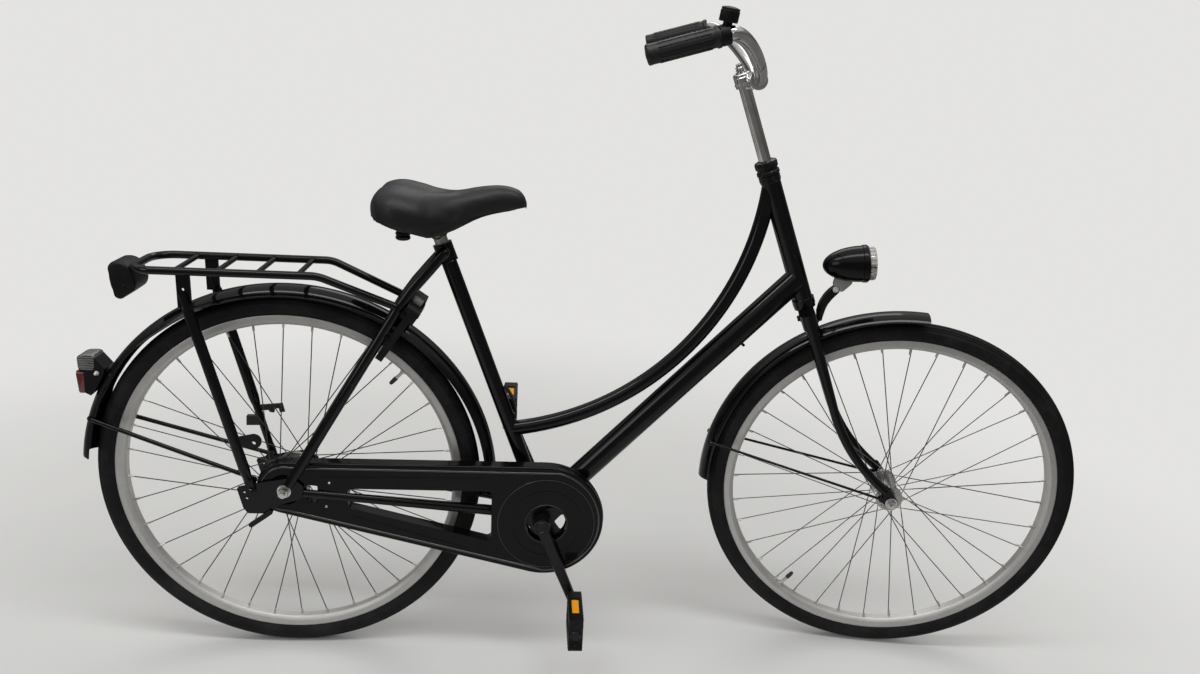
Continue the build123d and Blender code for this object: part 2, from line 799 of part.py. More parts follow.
def lamp_seat():
    """Where the tail lamp stands on the rear mudguard."""
    return around(rear_guard_centre, rear_guard_radius, tail_lamp_angle)


def tail_lamp():
    outline = Polyline((-37, 42), (-12, 45), (8, 20), (-2, -12), (-20, -31), (-33, -24), close=True)
    body = side_slab(make_face(outline), -tail_lamp_half, tail_lamp_half)
    body = fillet(body.edges().filter_by(Axis.Y).sort_by(Axis.Z)[-2:], 6)
    return Pos(*lamp_seat()) * body - under_guard(rear_guard_radius + guard_wall / 2,
                                                  rear_guard_centre, 120, 178)


def tail_lamp_lens():
    outline = Polyline((-35, 16), (-42, 14), (-39, -21), (-33, -24), close=True)
    lens = side_slab(make_face(outline), -tail_lamp_half + 2, tail_lamp_half - 2)
    return Pos(*lamp_seat()) * lens - tail_lamp()


def ring_lock():
    """The frame lock: a body over the tyre and two legs, on a plane through the axle."""
    a = math.radians(lock_angle)
    out = Vector(math.cos(a), 0, math.sin(a))
    along = Vector(-math.sin(a), 0, math.cos(a))
    base = Plane(origin=rear_axle_point, x_dir=Vector(0, 1, 0), z_dir=along * -1)
    arch = Pos(0, (lock_low + lock_high) / 2) * RectangleRounded(2 * lock_half, lock_high - lock_low, 14)
    body = extrude(base * arch, amount=lock_thickness / 2, both=True)
    top = Pos(0, lock_high + 4) * Rectangle(44, 14)
    body += extrude(base * top, amount=lock_thickness / 2 - 2, both=True)
    leg_middle = lock_half - lock_leg_width / 2
    for side in (-1, 1):
        leg = Pos(side * leg_middle, (lock_tip + lock_low) / 2 + 8)
        leg *= RectangleRounded(lock_leg_width, lock_low - lock_tip + 16, 7)
        body += extrude(base * leg, amount=lock_leg_thickness / 2, both=True)
        for reach, y, far in ((lock_low + 14, 39, 16.3), (lock_tip + 46, 43, 12.9)):
            centre = rear_axle_point + out * reach + along * (far - 5) + Vector(0, side * y, 0)
            body += Plane(origin=centre, x_dir=Vector(0, 1, 0), z_dir=along) * Box(9, 20, 10)
    return body - rear_mudguard() - seat_stays()


# ---- saddle ------------------------------------------------------------------------------

def seat_post():
    bottom = seat_top - seat_up * seat_post_insertion
    return rod(bottom, seat_top + seat_up * seat_post_stand, seat_post_radius)


def saddle_section(x, width, top, bottom):
    """One cross-section of the pad, placed from the top of the seat tube."""
    centre = seat_top + Vector(x, 0, (top + bottom) / 2)
    corner = min(width, top - bottom) * 0.46
    section = RectangleRounded(width, top - bottom, corner)
    return Plane(origin=centre, x_dir=Vector(0, 1, 0), z_dir=Vector(1, 0, 0)) * section


def saddle_cover():
    pad = loft([saddle_section(*station) for station in saddle_stations], ruled=True)
    hollow = loft([saddle_section(*station) for station in saddle_hollow], ruled=True)
    return Part() + pad - hollow


def saddle_frame():
    """The clamp on the post, the two rails and the rear blocks that carry the pad."""
    clamp = Pos(*(seat_top + seat_up * seat_post_stand)) * Box(38, 52, 18)
    points = [seat_top + Vector(x, y, z) for x, y, z in
              ((-70, 24, 22), (-20, 22, 24), (16, 20, 28), (102, 8, 76))]
    rail = bent_tube(points, [60, 60], saddle_rail_radius)
    block = Pos(*(seat_top + Vector(-64, 30, 31))) * Box(32, 18, 44)
    frame = clamp + both_sides(rail + block)
    frame += Pos(*(seat_top + Vector(-61, 0, 22))) * Box(22, 44, 10)
    return frame - saddle_cover() - seat_post()


# ---- steering assembly -------------------------------------------------------------------
steering_side = Plane(origin=steer_foot, x_dir=steer_forward, z_dir=Vector(0, -1, 0))


def steering_slab(sketch, half_width):
    """A sketch of distances forward of and up the steering axis, given a width."""
    return extrude(steering_side * sketch, amount=half_width, both=True)


def fork_blade():
    """A tapered tube down to the knee, then a swept arc forward to the fork end."""
    top = on_steering(fork_reach - fork_crown_height / 2, 0, fork_blade_y)
    knee = on_steering(fork_blade_straight, 0, fork_blade_y + 3)
    tip = on_steering(fork_tip_up, fork_rake - 4, fork_end_y + fork_end_thickness / 2)
    arc = TangentArc(knee, tip, tangent=(knee - top).normalized())
    section = Plane(origin=arc @ 0, z_dir=arc % 0) * Circle(fork_tip_radius)
    return rod(top, knee, fork_blade_radius, fork_tip_radius) + sweep(section, path=arc)


def fork_end():
    """The flat plate at the foot of a blade, with a small eye behind the axle."""
    axle_disc = Pos(fork_rake, 0) * Circle(fork_end_radius)
    blade_disc = Pos(fork_rake - 4, fork_tip_up + 6) * Circle(fork_tip_radius - 1)
    plate = make_hull(axle_disc.edges() + blade_disc.edges())
    plate = extrude(steering_side * plate, amount=fork_end_thickness)
    plate = Pos(0, fork_end_y + fork_end_thickness, 0) * plate
    eye = Pos(*fork_eye) * Circle(fork_eye_radius)
    arm = make_hull(eye.edges() + Circle(fork_end_radius - 4).edges())
    return plate + Pos(*front_axle_point) * side_slab(arm, fork_end_y, fork_end_y + fork_end_thickness)


def fork():
    steerer = rod(on_steering(fork_reach - fork_crown_height), on_steering(steerer_top),
                  steerer_radius)
    race = rod(on_steering(fork_reach - fork_race), on_steering(fork_reach - face_gap),
               lower_cup_radius - 1)
    crown_plane = Plane(origin=on_steering(fork_reach - fork_race), x_dir=Vector(0, 1, 0),
                        z_dir=steer_up * -1)
    crown = extrude(crown_plane * SlotOverall(2 * (fork_blade_y + fork_blade_radius + 2.5),
                                              fork_crown_width),
                    amount=fork_crown_height - fork_race)
    body = steerer + race + crown + both_sides(fork_blade() + fork_end())
    reach = fork_end_y + fork_end_thickness + 1
    return body - across(front_axle_point.X, front_axle_point.Z, -reach, reach, front_axle_radius)


def front_axle():
    face_y = fork_end_y + fork_end_thickness
    axle = axle_with_nuts(front_axle_point, front_axle_radius, face_y, front_nut_radius,
                          front_nut_height, axle_overhang)
    x, z = front_axle_point.X, front_axle_point.Z
    inner = across(x, z, fork_end_y - locknut_thickness, fork_end_y, front_nut_radius - 0.5)
    return axle + both_sides(inner)


def headset_nut():
    """The two-step locknut over the upper cup."""
    low = headset_top + face_gap
    nut = rod(on_steering(low), on_steering(low + locknut_step), upper_cup_radius)
    nut += rod(on_steering(low + locknut_step), on_steering(low + locknut_height), locknut_radius)
    return nut - rod(on_steering(0), on_steering(steerer_top), steerer_radius) - stem_post()


def stem_post():
    return rod(on_steering(steerer_top), on_steering(steerer_top + stem_height), stem_radius)


bar_centre = on_steering(steerer_top + stem_height, stem_reach)
grip_front = bar_centre + Vector(-bar_sweep, bar_half_width, bar_rise)
grip_rear = grip_front + Vector(-grip_back, grip_spread, -grip_drop)
grip_run = (grip_rear - grip_front).normalized()


def stem():
    top = on_steering(steerer_top + stem_height)
    head = rod(top - steer_up * 4, top + steer_up * (stem_cap_height - 4), stem_cap_radius)
    head = fillet(head.edges().sort_by(Axis.Z)[-1], 3)
    reach = rod(top, bar_centre, bar_radius + 2)
    half = Vector(0, bar_clamp_width / 2, 0)
    clamp = rod(bar_centre - half, bar_centre + half, bar_radius + bar_clamp_wall)
    return stem_post() + head + reach + clamp - handlebar()


def handlebar():
    """A swept-back bar that rises from the clamp and turns back to the grips."""
    low = bar_centre + Vector(-bar_sweep * 0.23, bar_half_width * 0.37, bar_rise * 0.58)
    high = bar_centre + Vector(-bar_sweep * 0.65, bar_half_width * 0.73, bar_rise * 0.95)
    path = [bar_centre, bar_centre + Vector(0, 28, 2), low, high, grip_front - grip_run * 26,
            grip_rear]
    return both_sides(bent_tube(path, [30, 60, 60, 30], bar_radius))


def grips():
    left = rod(grip_front, grip_front + grip_run * grip_length, grip_radius)
    right = mirrored(rod(grip_front + grip_run * bell_band_length,
                         grip_front + grip_run * grip_length, grip_radius))
    return left + right - handlebar()


def bell():
    """The bell on the right of the bar, just ahead of the grip."""
    run = Vector(grip_run.X, -grip_run.Y, grip_run.Z)
    front = Vector(grip_front.X, -grip_front.Y, grip_front.Z)
    band = rod(front, front + run * (bell_band_length - face_gap), grip_radius)
    at = front + run * (bell_band_length / 2)
    lean = Vector(-0.12, 0, 1).normalized()
    body = rod(at, at + lean * (grip_radius + bell_neck), bell_radius / 2)
    body += rod(at + lean * (grip_radius + bell_neck / 2),
                at + lean * (grip_radius + bell_neck / 2 + bell_height), bell_radius)
    return band + body - handlebar() - grips()


# ---- headlamp ----------------------------------------------------------------------------
lamp_direction = Vector(math.cos(math.radians(lamp_tilt)), 0, math.sin(math.radians(lamp_tilt)))
lamp_rim_point = on_steering(fork_reach + lamp_up, lamp_forward)


def lamp_axis_point(distance):
    return lamp_rim_point + lamp_direction * distance


def headlamp():
    profile = make_face([Line((0, 0), (lamp_length, 0)),
                         ThreePointArc((lamp_length, 0), (lamp_length * 0.72, lamp_radius * 0.72),
                                       (lamp_rim_depth, lamp_radius)),
                         Line((lamp_rim_depth, lamp_radius), (0, lamp_radius)),
                         Line((0, lamp_radius), (0, 0))])
    shell = revolve(profile, axis=Axis.X)
    end = lamp_axis_point(-lamp_rim_depth)
    return Plane(origin=end, x_dir=lamp_direction * -1, z_dir=Vector(0, 1, 0)) * shell


def headlamp_ring():
    rim = rod(lamp_axis_point(-lamp_rim_depth), lamp_rim_point, lamp_radius + lamp_rim_wall)
    return rim - headlamp()


def headlamp_lens():
    lens = rod(lamp_rim_point, lamp_axis_point(lamp_lens_depth), lamp_lens_radius)
    return fillet(lens.edges().sort_by(Axis.X)[-1], 4)


def headlamp_bracket():
    """A bent strip up from the fork crown, and the foot that holds the lamp."""
    low = fork_reach - fork_crown_height
    face = fork_crown_width / 2
    line = Polyline((face + 1.5, low + 3), (face + 1.5, low + 18), (face + 22, low + 29),
                    (face + 45, low + 42), (face + 55, low + 56))
    strip = steering_slab(trace(line, 3), 8)
    foot = Polyline((face + 38, low + 37), (face + 56, low + 38), (face + 80, low + 62),
                    (face + 70, low + 80), (face + 44, low + 70), close=True)
    piece = strip + steering_slab(make_face(foot), 7)
    bolt_at = on_steering(low + 9, face + 2)
    piece += rod(bolt_at, bolt_at + steer_forward * 5, 6)
    return piece - headlamp() - fork()


# ---- drive -------------------------------------------------------------------------------
crank_down = Vector(math.sin(math.radians(crank_rest)), 0, -math.cos(math.radians(crank_rest)))


def spindle():
    reach = crank_y + crank_thickness / 2 - 2
    return across(bottom_bracket_point.X, bottom_bracket_point.Z, -reach, reach, spindle_radius)


def crank(side, direction):
    """One crank arm, flat-sided, with its two eyes."""
    start = bottom_bracket_point + Vector(0, side * crank_y, 0)
    end = start + direction * crank_length
    half = crank_thickness / 2
    arm = rod(start, end, crank_width / 2, crank_width / 2 - crank_taper)
    arm &= Pos(start.X, start.Y, start.Z) * Box(3 * crank_length, crank_thickness, 3 * crank_length)
    arm += across(start.X, start.Z, start.Y - half, start.Y + half, crank_boss_radius)
    arm += across(end.X, end.Z, start.Y - half, start.Y + half, crank_eye_radius)
    return arm - spindle() - pedal_axle(side, direction)


def chainwheel():
    face = Circle(chainwheel_radius)
    for index in range(chainwheel_windows):
        face -= Rot(0, 0, index * 360 / chainwheel_windows - 3) * chainwheel_window()
    half = chainwheel_thickness / 2
    disc = side_slab(face, -chainwheel_y - half, -chainwheel_y + half)
    boss_end = -crank_y + crank_thickness / 2
    boss = across(0, 0, boss_end, -chainwheel_y, chainwheel_boss_radius)
    return Pos(*bottom_bracket_point) * (disc + boss) - spindle()


def chainwheel_window():
    """One rounded opening, its point toward the spindle."""
    spread = math.radians(window_spread)
    points = [(window_near, 0)]
    for radius in (window_middle, window_far):
        points.append((radius * math.cos(spread), -radius * math.sin(spread)))
    points.append((window_far + 2, 0))
    for radius in (window_far, window_middle):
        points.append((radius * math.cos(spread), radius * math.sin(spread)))
    return fillet(make_face(Polyline(*points, close=True)).vertices(), window_corner)


def pedal_centre(side, direction):
    out = crank_y + crank_thickness / 2 + pedal_gap + pedal_length / 2
    return bottom_bracket_point + direction * crank_length + Vector(0, side * out, 0)


def pedal_axle(side, direction):
    end = bottom_bracket_point + direction * crank_length
    y0 = side * (crank_y - crank_thickness / 2)
    y1 = side * (crank_y + crank_thickness / 2 + pedal_gap + pedal_length - 8)
    return across(end.X, end.Z, y0, y1, pedal_axle_radius)


def pedal(side, direction):
    """A block pedal hanging on edge: barrel, two grooved treads and two end plates."""
    centre = pedal_centre(side, direction)
    half_length = pedal_length / 2
    half_width = pedal_width / 2
    block_z = half_width - pedal_block_width / 2
    body = rod(Vector(0, -half_length, 0), Vector(0, half_length, 0), pedal_barrel_radius)
    for up in (-1, 1):
        block = Pos(0, 0, up * block_z) * Box(pedal_thickness, pedal_length, pedal_block_width)
        groove = Box(pedal_thickness, pedal_length - 2 * pedal_end_wall, pedal_groove_width)
        for step in (-1, 0, 1):
            for face in (-1, 1):
                shift = face * (pedal_thickness - pedal_groove)
                block -= Pos(shift, 0, up * block_z + step * pedal_groove_pitch) * groove
        notch = Box(reflector_width + 2, reflector_length + 2, 2 * reflector_recess)
        body += block - Pos(0, 0, up * half_width) * notch
        plate = Box(pedal_thickness, pedal_end_wall, pedal_width)
        body += Pos(0, up * (half_length - pedal_end_wall / 2), 0) * plate
    bore = rod(Vector(0, -side * 60, 0), Vector(0, side * (half_length - 7), 0),
               pedal_axle_radius + running_fit)
    return Pos(*centre) * (body - bore)


def pedal_reflectors(side, direction):
    plate = Box(reflector_width, reflector_length, reflector_thickness)
    up = pedal_width / 2 - reflector_recess + reflector_thickness / 2
    centre = pedal_centre(side, direction)
    return Pos(*centre) * (Part() + Pos(0, 0, up) * plate + Pos(0, 0, -up) * plate)


# ---- saving ------------------------------------------------------------------------------
rider_point = seat_top + Vector(-36, 0, 95)
steering_line = Axis(tuple(steer_foot), tuple(steer_up))


def turned(piece):
    """A steering piece turned to the resting steering angle."""
    return piece.rotate(steering_line, rest_steer)


def turned_bar(piece):
    """The bar and what is clamped with it stand a few degrees off the fork's line."""
    return piece.rotate(steering_line, rest_steer + bar_twist)


def save(name, piece):
    placed = Pos(*(rider_point * -1)) * piece
    solids = placed.solids()
    shape = solids[0] if len(solids) == 1 else Compound(solids)
    export_step(shape, "parts/" + name + ".step")


def build():
    os.makedirs("parts", exist_ok=True)
    save("head_tube", head_tube())
    save("down_tube", down_tube())
    save("top_tube", top_tube())
    save("seat_tube", seat_tube())
    save("seat_tube_clip", seat_tube_clip())
    save("bottom_bracket", bottom_bracket())
    save("chain_stays", chain_stays())
    save("seat_stays", seat_stays())
    save("dropouts", dropouts())
    save("rear_axle", rear_axle())
    save("brake_arm", brake_arm())
    save("chain_case", chain_case())
    save("rear_mudguard", rear_mudguard())
    save("rear_mudguard_stays", rear_guard_stays())
    save("carrier", carrier())
    save("carrier_legs", carrier_legs())
    save("strap_bracket", strap_bracket())
    save("carrier_reflector", carrier_reflector())
    save("tail_lamp", tail_lamp())
    save("tail_lamp_lens", tail_lamp_lens())
    save("ring_lock", ring_lock())
    save("seat_post", seat_post())
    save("saddle_cover", saddle_cover())
    save("saddle_frame", saddle_frame())
    save("rear_tyre", wheel_ring(tyre_section(), rear_axle_point))
    save("rear_rim", wheel_ring(rim_section(), rear_axle_point))
    save("rear_hub", rear_hub())
    save("fork", turned(fork()))
    save("front_axle", turned(front_axle()))
    save("headset_nut", turned(headset_nut()))
    save("stem", turned_bar(stem()))
    save("handlebar", turned_bar(handlebar()))
    save("grips", turned_bar(grips()))
    save("bell", turned_bar(bell()))
    save("headlamp", turned(headlamp()))
    save("headlamp_ring", turned(headlamp_ring()))
    save("headlamp_lens", turned(headlamp_lens()))
    save("headlamp_bracket", turned(headlamp_bracket()))
    save("front_mudguard", turned(front_mudguard()))
    save("front_mudguard_stays", turned(front_guard_stays()))
    save("front_tyre", turned(wheel_ring(tyre_section(), front_axle_point)))
    save("front_rim", turned(wheel_ring(rim_section(), front_axle_point)))
    save("front_hub", turned(front_hub()))
    save("crank_spindle", spindle())
    save("chainwheel", chainwheel())
    up = crank_down * -1
    for name, side, direction in (("right", -1, crank_down), ("left", 1, up)):
        save("crank_" + name, crank(side, direction))
        save("pedal_axle_" + name, pedal_axle(side, direction))
        save("pedal_" + name, pedal(side, direction))
        save("pedal_reflectors_" + name, pedal_reflectors(side, direction))


build()
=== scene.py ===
import json
import math

import bmesh
import bpy
from mathutils import Matrix, Vector


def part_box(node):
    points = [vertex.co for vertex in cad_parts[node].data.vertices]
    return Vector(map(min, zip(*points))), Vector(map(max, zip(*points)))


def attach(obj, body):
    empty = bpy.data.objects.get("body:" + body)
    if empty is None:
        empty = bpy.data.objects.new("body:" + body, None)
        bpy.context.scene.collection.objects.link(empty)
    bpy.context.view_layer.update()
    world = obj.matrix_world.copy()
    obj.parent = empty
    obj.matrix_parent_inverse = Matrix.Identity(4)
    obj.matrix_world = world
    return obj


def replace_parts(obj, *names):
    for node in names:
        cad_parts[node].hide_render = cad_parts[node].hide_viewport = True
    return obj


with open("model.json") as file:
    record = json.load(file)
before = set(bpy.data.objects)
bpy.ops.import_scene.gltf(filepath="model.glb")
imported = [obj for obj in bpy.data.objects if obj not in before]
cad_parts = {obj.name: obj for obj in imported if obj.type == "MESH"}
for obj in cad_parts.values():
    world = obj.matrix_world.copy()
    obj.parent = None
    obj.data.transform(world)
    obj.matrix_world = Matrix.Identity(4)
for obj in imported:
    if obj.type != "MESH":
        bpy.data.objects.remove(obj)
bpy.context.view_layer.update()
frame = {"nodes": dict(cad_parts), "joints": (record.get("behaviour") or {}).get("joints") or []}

# ---- the studio ----------------------------------------------------------------------------------
# A plain pale floor under an even, bright room, seen from the right and a little above, with
# one long ceiling lamp that draws the thin bright lines along the black tubes.
bpy.context.scene.view_settings.view_transform = "Standard"


def placed(name, data):
    """A new object in the scene."""
    thing = bpy.data.objects.new(name, data)
    bpy.context.scene.collection.objects.link(thing)
    return thing


camera = placed("camera", bpy.data.cameras.new("camera"))
bpy.context.scene.camera = camera
camera.data.lens = 27.914
camera.data.sensor_width = 36.0
camera.location = (0.1874, -1.631, 0.2368)
camera.rotation_euler = [math.radians(angle) for angle in (73.128, -3.086, -3.854)]


class Wire:
    """A socket with arithmetic, so that shader maths reads as an expression."""

    def __init__(self, finish, socket):
        self.finish = finish
        self.socket = socket

    def maths(self, operation, first, second):
        return self.finish.node("Math", {"operation": operation}, {0: first, 1: second})

    def __add__(self, other):
        return self.maths("ADD", self, other)

    def __radd__(self, other):
        return self.maths("ADD", other, self)

    def __rsub__(self, other):
        return self.maths("SUBTRACT", other, self)

    def __mul__(self, other):
        return self.maths("MULTIPLY", self, other)


class Finish:
    """One finish of the bicycle, made of shader nodes, and the slot that its pieces fill."""

    def __init__(self, name, slot, colour, roughness, metallic=0.0, **fixed):
        self.material = bpy.data.materials.new(name)
        self.material.use_nodes = True
        self.material.diffuse_color = (*colour, 1.0)
        self.tree = self.material.node_tree
        self.slot = slot
        self.colour = colour
        self.set("Base Color", (*colour, 1.0))
        self.set("Roughness", roughness)
        self.set("Metallic", metallic)
        for socket, value in fixed.items():
            self.set(socket.replace("_", " "), value)
        self.place = self.node("TexCoord", {}, {}, "Object")

    def plug(self, socket, value):
        if isinstance(value, Wire):
            self.tree.links.new(value.socket, socket)
        else:
            socket.default_value = value

    def set(self, socket, value):
        self.plug(self.tree.nodes["Principled BSDF"].inputs[socket], value)

    def node(self, kind, settings, sockets, output=0):
        made = self.tree.nodes.new("ShaderNode" + kind)
        for key, value in settings.items():
            setattr(made, key, value)
        for key, value in sockets.items():
            self.plug(made.inputs[key], value)
        return Wire(self, made.outputs[output])

    def stretched(self, scale):
        return self.node("Mapping", {}, {"Vector": self.place, "Scale": scale})

    def noise(self, scale, detail=3.0, rough=0.5, vector=None):
        return self.node("TexNoise", {}, {"Vector": vector or self.place, "Scale": scale,
                                          "Detail": detail, "Roughness": rough})

    def ramp(self, factor, low, high):
        """From 0 to 1 between two levels of a pattern."""
        wire = self.node("ValToRGB", {}, {0: factor})
        for stop, at, level in zip(wire.socket.node.color_ramp.elements, (low, high), (0.0, 1.0)):
            stop.position = at
            stop.color = (level, level, level, 1.0)
        return wire

    def mix(self, factor, *colours):
        first, second = [one if isinstance(one, Wire) else (*one, 1.0) for one in colours]
        return self.node("Mix", {"data_type": "RGBA"}, {0: factor, 6: first, 7: second}, 2)

    def tint(self, pattern, *colours):
        """Go by a pattern from one colour, the finish's own if one is left out, to the last."""
        self.set("Base Color", self.mix(pattern, *(self.colour, *colours)[-2:]))

    def dull(self, roughness, gain, pattern):
        """A roughness that grows with a pattern."""
        self.set("Roughness", roughness + pattern * gain)

    def bump(self, height, depth, strength):
        self.set("Normal", self.node("Bump", {}, {"Height": height, "Distance": depth,
                                                  "Strength": strength}))

    def grain(self, scale, detail, depth, strength):
        self.bump(self.noise(scale, detail), depth, strength)

    def paint(self, *things):
        """Give the finish to every slot of some pieces or CAD nodes."""
        for thing in things:
            thing.data.materials.clear()
            thing.data.materials.append(self.material)


floor_finish = Finish("studio_floor", None, (0.80, 0.80, 0.79), 0.7, Specular_IOR_Level=0.15)
floor_finish.tint(floor_finish.noise(3.0, 2.0), (0.58, 0.58, 0.575), (0.64, 0.64, 0.63))
from_middle = floor_finish.node("VectorMath", {"operation": "LENGTH"},
                                {0: floor_finish.stretched((1, 1, 0))}, 1)
whole_within, gone_beyond = 0.7, 2.3
floor_finish.set("Alpha", 1 - floor_finish.node("MapRange", {"interpolation_type": "SMOOTHSTEP"},
                                                {0: from_middle, 1: whole_within, 2: gone_beyond}))
ground_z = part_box("rear_tyre")[0].z
floor_mesh = bpy.data.meshes.new("studio_floor")
floor_half = 9
floor_mesh.from_pydata([(x * floor_half, y * floor_half, ground_z)
                        for x, y in ((-1, -1), (1, -1), (1, 1), (-1, 1))], [], [(0, 1, 2, 3)])
studio_floor = placed("studio_floor", floor_mesh)
floor_finish.paint(studio_floor)

# The room is darkest at mid height and bright overhead; the camera sees it as an even pale grey.
world = bpy.data.worlds.new("room")
bpy.context.scene.world = world
world.use_nodes = True
sky = world.node_tree
room_light = sky.nodes["Background"]
room_light.inputs["Strength"].default_value = 0.9
room_height = sky.nodes.new("ShaderNodeSeparateXYZ")
room_shade = sky.nodes.new("ShaderNodeValToRGB")
stops = room_shade.color_ramp.elements
for height, level in ((0.02, 0.20), (0.14, 0.10), (0.40, 0.30), (0.46, 0.62), (0.95, 1.0)):
    stops.new(height).color = (level, level * 0.985, level * 0.96, 1.0)
stops.remove(stops[0])
stops.remove(stops[-1])
room_white = sky.nodes.new("ShaderNodeBackground")
room_white.inputs["Color"].default_value = (0.775, 0.77, 0.755, 1.0)
ray = sky.nodes.new("ShaderNodeLightPath")
room_choice = sky.nodes.new("ShaderNodeMixShader")
for source, socket in (
        (sky.nodes.new("ShaderNodeTexCoord").outputs["Generated"], room_height.inputs[0]),
        (room_height.outputs["Z"], room_shade.inputs[0]),
        (room_shade.outputs[0], room_light.inputs["Color"]),
        (ray.outputs["Is Camera Ray"], room_choice.inputs["Fac"]),
        (room_light.outputs["Background"], room_choice.inputs[1]),
        (room_white.outputs["Background"], room_choice.inputs[2]),
        (room_choice.outputs["Shader"], sky.nodes["World Output"].inputs["Surface"])):
    sky.links.new(source, socket)


def lamp(name, place, target, size, power, tint=(1.0, 1.0, 1.0)):
    data = bpy.data.lights.new(name, "AREA")
    data.shape = "RECTANGLE"
    data.size, data.size_y = size
    data.energy = power
    data.color = tint
    thing = placed(name, data)
    thing.location = place
    thing.rotation_euler = (Vector(target) - Vector(place)).to_track_quat("-Z", "Y").to_euler()


lamp("ceiling_lamp", (0.1, -0.7, 1.75), (0.15, 0.0, -0.3), (3.2, 0.4), 30.0, (0.98, 0.99, 1.0))
lamp("side_lamp", (-2.6, -2.0, 0.9), (0.0, 0.0, -0.3), (1.4, 1.4), 14.0)
lamp("back_lamp", (0.6, 2.4, 2.2), (0.1, 0.0, -0.3), (2.4, 1.0), 16.0)


# ---- the painted frame ---------------------------------------------------------------------------
# Brazed steel tubes in black stove enamel: deep gloss with a thin clear layer, faint ripples
# from the spray, a little dust, and small pale scuffs where things have rubbed.
def coat(finish, *names):
    """Give a finish to CAD nodes by their names."""
    finish.paint(*[frame["nodes"][name] for name in names])


enamel = Finish("stove_enamel", "enamel", (0.0025, 0.0027, 0.0034), 0.22, Coat_Weight=0.32,
                Coat_Roughness=0.05, Specular_IOR_Level=0.1)
dust = enamel.ramp(enamel.noise(26.0, 5.0, 0.62), 0.56, 0.82)
scuff = (enamel.ramp(enamel.noise(150.0, 2.0, 0.7), 0.735, 0.76)
         * enamel.ramp(enamel.noise(9.0, 2.0), 0.52, 0.62))
dusty = enamel.mix(dust, enamel.colour, (0.007, 0.007, 0.008))
enamel.tint(scuff * 0.6, dusty, (0.10, 0.10, 0.10))
enamel.set("Roughness", 0.14 + dust * 0.12 + scuff * 0.3)
enamel.grain(70.0, 2.0, 0.0004, 0.12)
coat(enamel, "head_tube", "down_tube", "top_tube", "seat_tube", "bottom_bracket", "chain_stays",
     "seat_stays", "dropouts", "fork", "carrier", "carrier_legs", "rear_mudguard_stays",
     "front_mudguard_stays")


# ---- lug edges and axles -------------------------------------------------------------------------
# Small rolled beads of braze show where the seat lug, the bracket shell and the head's cups end.
# Axles and nuts are nickel-plated steel, a little tarnished; later screws share that finish.
joint = {one["name"]: one for one in frame["joints"]}
rear_axle = Vector(joint["rear_wheel_spin"]["pos_m"])
bracket = rear_axle + Vector((0.46817, 0, -0.060))
seat_lean = math.radians(69.5)
seat_up = Vector((-math.cos(seat_lean), 0, math.sin(seat_lean)))
seat_top = bracket + seat_up * 0.550
steer_foot = Vector(joint["steering_turn"]["pos_m"])
steer_up = Vector(joint["steering_turn"]["axis"]).normalized()
crown_race = 418.06


def aimed(point, direction):
    """A matrix at a point with its Y axis along a direction."""
    along = Vector(direction).normalized()
    side = along.cross(Vector((0, 0, 1)) if abs(along.z) < 0.9 else Vector((1, 0, 0))).normalized()
    axes = Matrix((side, along, side.cross(along))).transposed()
    return Matrix.Translation(point) @ axes.to_4x4()


def woven(rings, looped=True, endless=False):
    """Join rows of points by quads, as (points, faces); a run with two ends has them closed."""
    count = len(rings[0])
    points = [point for ring in rings for point in ring]
    faces = []
    for number in range(len(rings) if endless else len(rings) - 1):
        start, ahead = number * count, (number + 1) % len(rings) * count
        for row in range(count if looped else count - 1):
            beside = (row + 1) % count
            faces.append((start + row, start + beside, ahead + beside, ahead + row))
    if not endless:
        faces += [tuple(range(count)), tuple(range(len(points) - count, len(points)))]
    return points, faces


def turned(profile, place, sides=24, lobes=0, lobe=0.0, looped=False):
    """Turn (radius, along) pairs in millimetres about a matrix's Y axis, with lobes if asked."""
    rings = []
    for step in range(sides):
        angle = 2 * math.pi * step / sides
        grow = 1 + (lobe if math.cos(lobes * angle) > -0.2 else 0)
        rings.append([place @ (Vector((radius * grow * math.cos(angle), along,
                                       radius * grow * math.sin(angle))) / 1000)
                      for radius, along in profile])
    return woven(rings, looped, True)


def ring_bead(point, direction, radius, thick, sides=28):
    """A small round fillet of braze about a tube, in millimetres."""
    section = [(radius + thick * math.cos(math.radians(a)), thick * math.sin(math.radians(a)))
               for a in range(0, 361, 60)]
    return turned(section, aimed(point, direction), sides)


def joined(*parts):
    """One part, a pair of points and faces, from several."""
    points, faces = [], []
    for some_points, some_faces in parts:
        faces += [tuple(len(points) + corner for corner in face) for face in some_faces]
        points += some_points
    return points, faces


def mesh_of(name, *parts):
    mesh = bpy.data.meshes.new(name)
    points, faces = joined(*parts)
    mesh.from_pydata(points, [], faces)
    return mesh


def link(name, mesh, body, finish, smooth=40.0):
    """Put a finished mesh in the scene, on its body, with its finish."""
    shape = bmesh.new()
    shape.from_mesh(mesh)
    bmesh.ops.remove_doubles(shape, verts=shape.verts, dist=1e-6)
    bmesh.ops.dissolve_degenerate(shape, edges=shape.edges, dist=1e-7)
    bmesh.ops.recalc_face_normals(shape, faces=shape.faces)
    shape.to_mesh(mesh)
    shape.free()
    mesh.validate()
    mesh.shade_smooth()
    mesh.set_sharp_from_angle(angle=math.radians(smooth))
    thing = placed(name, mesh)
    finish.paint(thing)
    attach(thing, body)
    return thing


def add(name, body, finish, *parts, smooth=40.0, slot=None):
    """Join some parts in one piece of the scene."""
    return link(name, mesh_of(name, *parts), body, finish, smooth)


